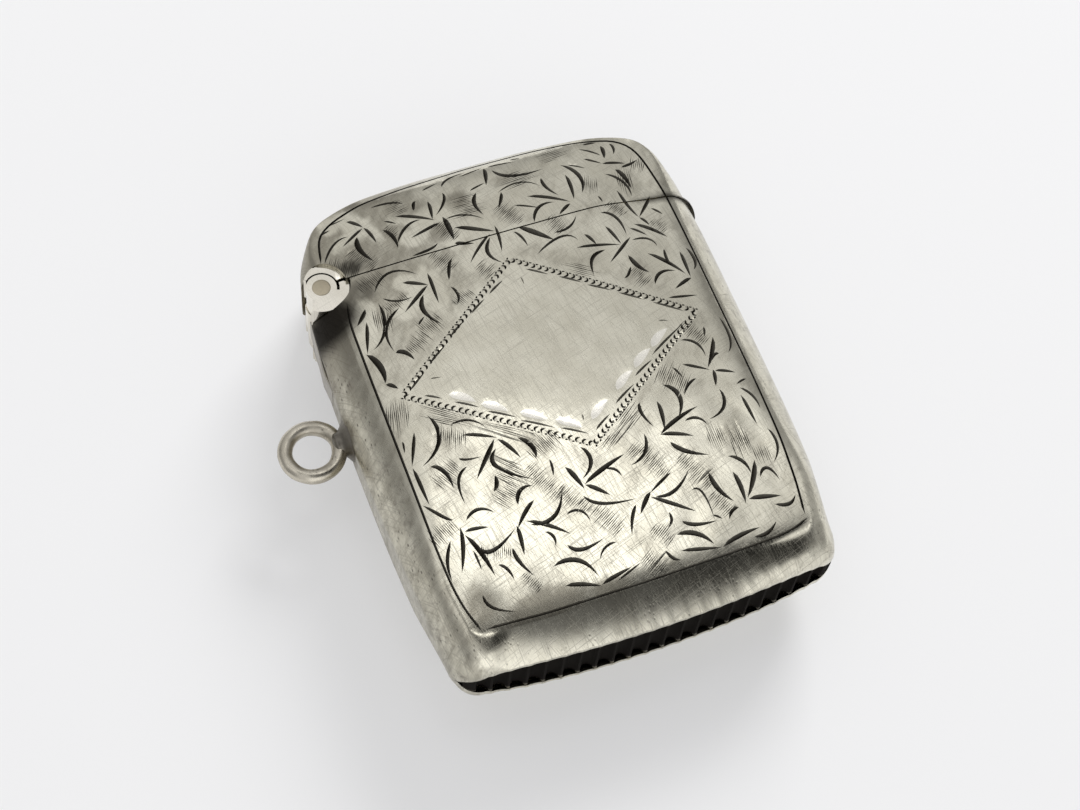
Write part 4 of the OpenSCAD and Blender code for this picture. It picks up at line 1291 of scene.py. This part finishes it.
def thumbLip():
    bm = bmesh.new()
    haze, cut = (bm.verts.layers.float.new(key) for key in ("haze", "cut"))
    sections = []
    for k in range(lip["steps"] + 1):
        z = lip["half"] * math.sin(math.pi / 2 * (2 * k / lip["steps"] - 1))
        wall = min(sideX(lip["wallY"]), case["sideRollAt"] + math.sqrt(case["sideRoll"] ** 2 - z * z))
        wall -= lip["sunk"]
        root = wall + lip["root"]
        out = max(lip["centre"] + math.sqrt(lip["radius"] ** 2 - z * z) - lip["spare"], wall + lip["least"])
        fade = max((out - wall - lip["least"]) / lip["reach"], 0.0)
        rise = lip["rise"] * mixed(lip["riseEnds"], 1.0, fade)
        tip = lip["tip"] * mixed(lip["tipEnds"], 1.0, fade)
        y0 = case["lidEdge"] - seamDip(wall, case["lidEdge"])
        low = y0 - lip["droop"] * min(fade, 1.0)
        inner = out - lip["round"] * fade
        profile = [(wall, y0 + lip["spare"]), (root, y0 + lip["spare"]),
                   (mixed(root, out, 0.6), mixed(y0, low, 0.45)), (inner, low), (out, low + tip * 0.5),
                   (inner, low + tip * 0.95), (mixed(wall, out, 0.72), mixed(low + tip, y0 + rise, 0.3)),
                   (mixed(wall, out, 0.42), mixed(low + tip, y0 + rise, 0.66)), (wall, y0 + rise)]
        sections.append([bm.verts.new((x, y, case["mid"] + z)) for x, y in profile])
        for made, dulledAndShaded, dark in zip(sections[-1], lip["haze"], lip["dark"]):
            made[haze], made[cut] = dulledAndShaded, dark
    skin(bm, sections)
    newObject("thumbLipLedge", bm, "lid", "worn_silver", ["thumb_lip"], 35)


thumbLip()


def polar(radius, degrees):
    return radius * math.cos(math.radians(degrees)), radius * math.sin(math.radians(degrees))


def arcPoints(radius, a0, a1, steps):
    return [polar(radius, mixed(a0, a1, k / steps)) for k in range(steps + 1)]


# flat pieces of the hinge: an outline drawn up along the hinge, its end edges eased
def addPrism(bm, outline, z0, z1, ease, centre=(0.0, 0.0), eased=None):
    low, high = ([bm.verts.new((centre[0] + x, centre[1] + y, z)) for x, y in outline] for z in (z0, z1))
    count = len(outline)
    bm.faces.new(list(reversed(low)))
    bm.faces.new(high)
    for k in range(count):
        n = (k + 1) % count
        bm.faces.new((low[k], low[n], high[n], high[k]))
    keep = [k for k, spot in enumerate(outline) if eased is None or eased(*spot)]
    ends = {low[k] for k in keep} | {high[k] for k in keep}
    edges = [e for e in bm.edges if e.verts[0] in ends and e.verts[1] in ends
             and abs(e.verts[0].co.z - e.verts[1].co.z) < 1e-6]
    bmesh.ops.bevel(bm, geom=edges, offset=ease, segments=4, profile=0.5, affect="EDGES",
                    clamp_overlap=eased is None)


# block and knuckles on the body: where each lies along the pin, radii, and the hook that the crescent meets
hinge = {"front": (6.85, 9.58), "middle": (4.01, 6.85), "back": (1.28, 4.01), "knuckle": 1.25,
         "bearer": 2.25, "hook": (1.48, -26, 2), "turn": (-130, 230), "ease": 0.4, "eased": (2.2, -1.05),
         "short": (1.5, -104), "shortEase": 0.02}


def hingeBlock():
    bm = bmesh.new()
    hookR, hookFrom, hookTo = hinge["hook"]
    first, last = hinge["turn"]
    rimR, leftX = hinge["eased"]
    full = arcPoints(hinge["bearer"], first, hookTo, 30)
    full += arcPoints(hookR, hookTo, hookFrom, 8) + arcPoints(hinge["knuckle"], hookFrom, last, 50)
    for part in ("front", "back"):
        addPrism(bm, full, *hinge[part], hinge["ease"], case["hinge"],
                 lambda x, y: math.hypot(x, y) > rimR or x < leftX)
    shortR, shortFrom = hinge["short"]
    short = arcPoints(hinge["bearer"], shortFrom, hookTo, 24) + arcPoints(shortR, hookTo, shortFrom, 24)
    addPrism(bm, short, *hinge["middle"], hinge["shortEase"], case["hinge"])
    newObject("hingeBlock", bm, "body", "hinge_silver", ["body_bearer", "front_knuckle", "back_knuckle"], 40)


hingeBlock()

# crescent on the lid that rides over the knuckles, thinning to its left end
crescent = {"inner": 1.39, "outer": 2.04, "from": 10, "steps": 28, "thin": 0.42, "thinFrom": 85,
            "thinTo": 135, "parts": [("front", 135, 0.07), ("middle", 112, 0.02), ("back", 135, 0.07)]}


def lidCrescent():
    bm = bmesh.new()
    start, steps = crescent["from"], crescent["steps"]
    for part, end, ease in crescent["parts"]:
        outline = []
        for k in range(steps + 1):
            a = mixed(start, end, k / steps)
            thin = crescent["thin"] * smooth(crescent["thinFrom"], crescent["thinTo"], a)
            outline.append(polar(crescent["outer"] - thin, a))
        outline += arcPoints(crescent["inner"], end, start, steps)
        addPrism(bm, outline, *hinge[part], ease, case["hinge"])
    newObject("lidCrescent", bm, "lid", "hinge_silver", ["lid_bearer"], 40)


lidCrescent()

# knuckle in the middle, with its two cam flats
cam = {"radius": 1.37, "flat": 0.14, "flats": (222, 132), "z": (4.13, 6.73), "sides": 96, "ease": 0.05,
       "facing": 0.2}


def lidKnuckle():
    bm = bmesh.new()
    outline = []
    for k in range(cam["sides"]):
        a = k * 360 / cam["sides"]
        r = cam["radius"]
        for flat in cam["flats"]:
            lean = math.cos(math.radians(a) - math.radians(flat))
            if lean > cam["facing"]:
                r = min(r, (cam["radius"] - cam["flat"]) / lean)
        outline.append(polar(r, a))
    addPrism(bm, outline, *cam["z"], cam["ease"], case["hinge"])
    newObject("lidKnuckleBarrel", bm, "lid", "hinge_silver", ["lid_knuckle"], 40)


lidKnuckle()

# pin through the knuckles, its ends hammered to low domes: share of radius and of dome height
pin = {"radius": 0.78, "z": (1.28, 9.58), "dome": 0.035, "sides": 48,
       "end": [(0.2, -1.0), (0.5, -0.85), (0.8, -0.35), (0.97, 0.0), (1.0, 0.6)]}


def hingePin():
    bm = bmesh.new()
    z0, z1 = pin["z"]
    profile = [(r * pin["radius"], z0 + d * pin["dome"]) for r, d in pin["end"]]
    profile += [(r * pin["radius"], z1 - d * pin["dome"]) for r, d in reversed(pin["end"])]
    hx, hy = case["hinge"]
    angles = roundAngles(pin["sides"])
    skin(bm, [[bm.verts.new((hx + r * math.cos(a), hy + r * math.sin(a), z)) for a in angles]
              for r, z in profile])
    newObject("hingePinRivet", bm, "body", "pin_metal", ["hinge_pin"], 50)


hingePin()

# leaf spring on the side
leaf = {"half": 1.15, "ease": 0.06,
        "outline": [(-16.92, 4.9), (-17.0, 6.4), (-16.487, 11.746), (-16.72, 11.746), (-17.2, 6.8),
                    (-17.07, 4.9)]}


def sideSpring():
    bm = bmesh.new()
    addPrism(bm, leaf["outline"], case["mid"] - leaf["half"], case["mid"] + leaf["half"], leaf["ease"])
    newObject("sideSpringLeaf", bm, "body", "spring_metal", ["side_spring"], 40)


sideSpring()

# hand drawn wire ring and the solder that holds it
ring = {"centre": (-20.08, 0.9, 5.43), "radius": 2.17, "wire": 0.64, "around": 120, "section": 32,
        "thin": 0.03, "dent": 0.025, "spare": 0.01, "worn": (0.3, -0.7)}


def suspensionRing():
    bm = bmesh.new()
    cx, cy, cz = ring["centre"]
    worn = bm.verts.layers.float.new("worn")
    loops = []
    for a in roundAngles(ring["around"]):
        out = Vector((math.cos(a), math.sin(a), 0.0))
        thin = ring["thin"] * (noise.noise(Vector((out.x * 1.7, out.y * 1.7, 2.0))) + 0.6)
        loop = []
        for b in roundAngles(ring["section"]):
            spot = out * (ring["radius"] + ring["wire"] * math.cos(b))
            spot += Vector((0, 0, ring["wire"] * math.sin(b)))
            r = ring["wire"] - max(thin + ring["dent"] * (noise.noise(spot * 1.3) + 0.5), 0.0)
            reach = ring["radius"] - ring["spare"] + r * math.cos(b)
            loop.append(bm.verts.new((cx + out.x * reach, cy + out.y * reach, cz + r * math.sin(b))))
            loop[-1][worn] = smooth(*ring["worn"], math.cos(b))
        loops.append(loop)
    skin(bm, loops, looped=True)
    newObject("suspensionRingWire", bm, "body", "ring_silver", ["suspension_ring"], 60)


suspensionRing()

solder = {"foot": 1.95, "neck": 1.02, "from": -16.75, "to": -18.35, "steps": 18, "sides": 40, "lump": 0.1,
          "flat": 0.9, "fall": (0.05, 0.75), "power": 1.4, "roundFrom": 0.8}


def ringSolder():
    bm = bmesh.new()
    rows = []
    for k in range(solder["steps"] + 1):
        t = k / solder["steps"]
        x = mixed(solder["from"], solder["to"], t)
        spread = (1 - smooth(*solder["fall"], t)) ** solder["power"]
        r = solder["neck"] + (solder["foot"] - solder["neck"]) * spread
        r *= math.sqrt(max(1 - max(t - solder["roundFrom"], 0) ** 2 / 0.05, 0.04))
        row = []
        for a in roundAngles(solder["sides"]):
            lump = 1 + solder["lump"] * noise.noise(Vector((x * 0.9, math.cos(a) * 1.4, math.sin(a) * 1.4)))
            row.append(bm.verts.new((x, ring["centre"][1] + r * lump * math.cos(a),
                                     ring["centre"][2] + r * lump * math.sin(a) * solder["flat"])))
        rows.append(row)
    skin(bm, rows)
    newObject("ringSolderFillet", bm, "body", "solder", ["ring_solder"], 50)


ringSolder()

# pale table top
table = {"half": 1.6, "drop": -0.00002, "colour": rgb(0.86, 0.86, 0.865), "white": rgb(0.97, 0.97, 0.975),
         "rough": 0.7, "share": 0.38}


def tableTop():
    half, z = table["half"], table["drop"]
    mesh = bpy.data.meshes.new("tableTop")
    corners = [(-half, -half, z), (half, -half, z), (half, half, z), (-half, half, z)]
    mesh.from_pydata(corners, [], [(0, 1, 2, 3)])
    top = bpy.data.objects.new("tableTop", mesh)
    bpy.context.scene.collection.objects.link(top)
    material, tree = freshTree("palePaper")
    paper = Wire.node(tree, "ShaderNodeBsdfPrincipled", None,
                      {"Base Color": table["colour"], "Roughness": table["rough"]})
    white = Wire.node(tree, "ShaderNodeEmission", None, {"Color": table["white"], "Strength": 1.0})
    seen, glossy, through = (Wire.node(tree, "ShaderNodeLightPath", out=name)
                             for name in ("Is Camera Ray", "Is Glossy Ray", "Is Transmission Ray"))
    share = (seen + glossy + through).clamped() * table["share"]
    shader = Wire.node(tree, "ShaderNodeMixShader", None, {0: share, 1: paper, 2: white})
    Wire.node(tree, "ShaderNodeOutputMaterial", None, {"Surface": shader})
    mesh.materials.append(material)


tableTop()

# small soft box overhead, a large one behind, and a room that darkens to the front and the sides
lamps = {
    "overhead": {"at": (0.115, 0.14, 0.64), "size": (0.2, 0.18), "power": 0.1, "glossy": True},
    "behind": {"at": (0.62, 0.68, 0.50), "size": (0.5, 0.4), "power": 9.2, "glossy": False},
}
room = {
    "levels": [(0.0, 1.3), (0.18, 1.2), (0.3, 0.85), (0.45, 0.8), (0.56, 1.2), (0.61, 1.1), (0.66, 0.88),
               (0.71, 0.82), (0.80, 0.78), (1.0, 0.45)],
    "right": (0.1, 0.8, 0.58), "left": (0.3, 0.9, 0.6),
    "dark": {"from": (0.12, 0.21), "to": (0.49, 0.56), "middle": 0.17, "width": (0.2, 0.5), "depth": 0.85,
             "lean": (0.06, 0.22, 0.08)},
}


def studioLight():
    for name, look in lamps.items():
        lamp = bpy.data.lights.new(name, "AREA")
        lamp.shape = "RECTANGLE"
        lamp.size, lamp.size_y = look["size"]
        lamp.energy = look["power"]
        holder = bpy.data.objects.new(name, lamp)
        holder.visible_glossy = look["glossy"]
        holder.location = look["at"]
        holder.rotation_euler = (-Vector(look["at"])).to_track_quat("-Z", "Y").to_euler()
        bpy.context.scene.collection.objects.link(holder)
    world = bpy.data.worlds.new("softRoom")
    bpy.context.scene.world = world
    world.use_nodes = True
    tree = world.node_tree
    tree.nodes.clear()
    heading = Wire.node(tree, "ShaderNodeTexCoord", out=0)
    across, forward = (
        Wire.node(tree, "ShaderNodeVectorMath", {"operation": "DOT_PRODUCT"}, {0: heading, 1: axis}, 1)
        for axis in ((1.0, 0.0, 0.0), (0.0, 1.0, 0.0)))
    stops = [(place, rgb(level, level, level * 1.01)) for place, level in room["levels"]]
    along = forward * 0.5 + 0.5
    colour = Wire.node(tree, "ShaderNodeValToRGB", {"stops": stops}, {0: along})
    dark = room["dark"]
    low, high, lean = dark["lean"]
    edge = along + across.between(low, high) * lean - lean
    shade = along.between(*dark["from"]) * (1 - edge.between(*dark["to"])) * dark["depth"]
    shade = shade * (1 - (across - dark["middle"]).sum("ABSOLUTE", 0.0).between(*dark["width"]))
    for key, side in (("right", 1.0), ("left", -1.0)):
        low, high, fall = room[key]
        shade = shade + (across * side).between(low, high) * fall
    colour = shade.clamped().tint(colour, rgb(0.0, 0.0, 0.0))
    back = Wire.node(tree, "ShaderNodeBackground", None, {"Color": colour, "Strength": 1.0})
    Wire.node(tree, "ShaderNodeOutputWorld", None, {"Surface": back})


studioLight()

# where the camera stands, in millimetres, and which way it looks
view = {"eye": (-40.07, -73.55, 158.40), "right": (0.9326, -0.3546, 0.0676),
        "down": (-0.284, -0.8364, -0.4688), "ahead": (0.2228, 0.4180, -0.8807), "lens": 71.44}


def photoCamera():
    data = bpy.data.cameras.new("photoCamera")
    data.sensor_fit = "HORIZONTAL"
    data.sensor_width = 36.0
    data.lens = view["lens"]
    data.clip_start, data.clip_end = 0.005, 20.0
    camera = bpy.data.objects.new("photoCamera", data)
    right, up, back = Vector(view["right"]), -Vector(view["down"]), -Vector(view["ahead"])
    turn = Matrix((right, up, back)).transposed().to_4x4()
    camera.matrix_world = Matrix.Translation(Vector(view["eye"]) * mm) @ turn
    bpy.context.scene.collection.objects.link(camera)
    bpy.context.scene.camera = camera
    bpy.context.scene.view_settings.view_transform = "Standard"


photoCamera()
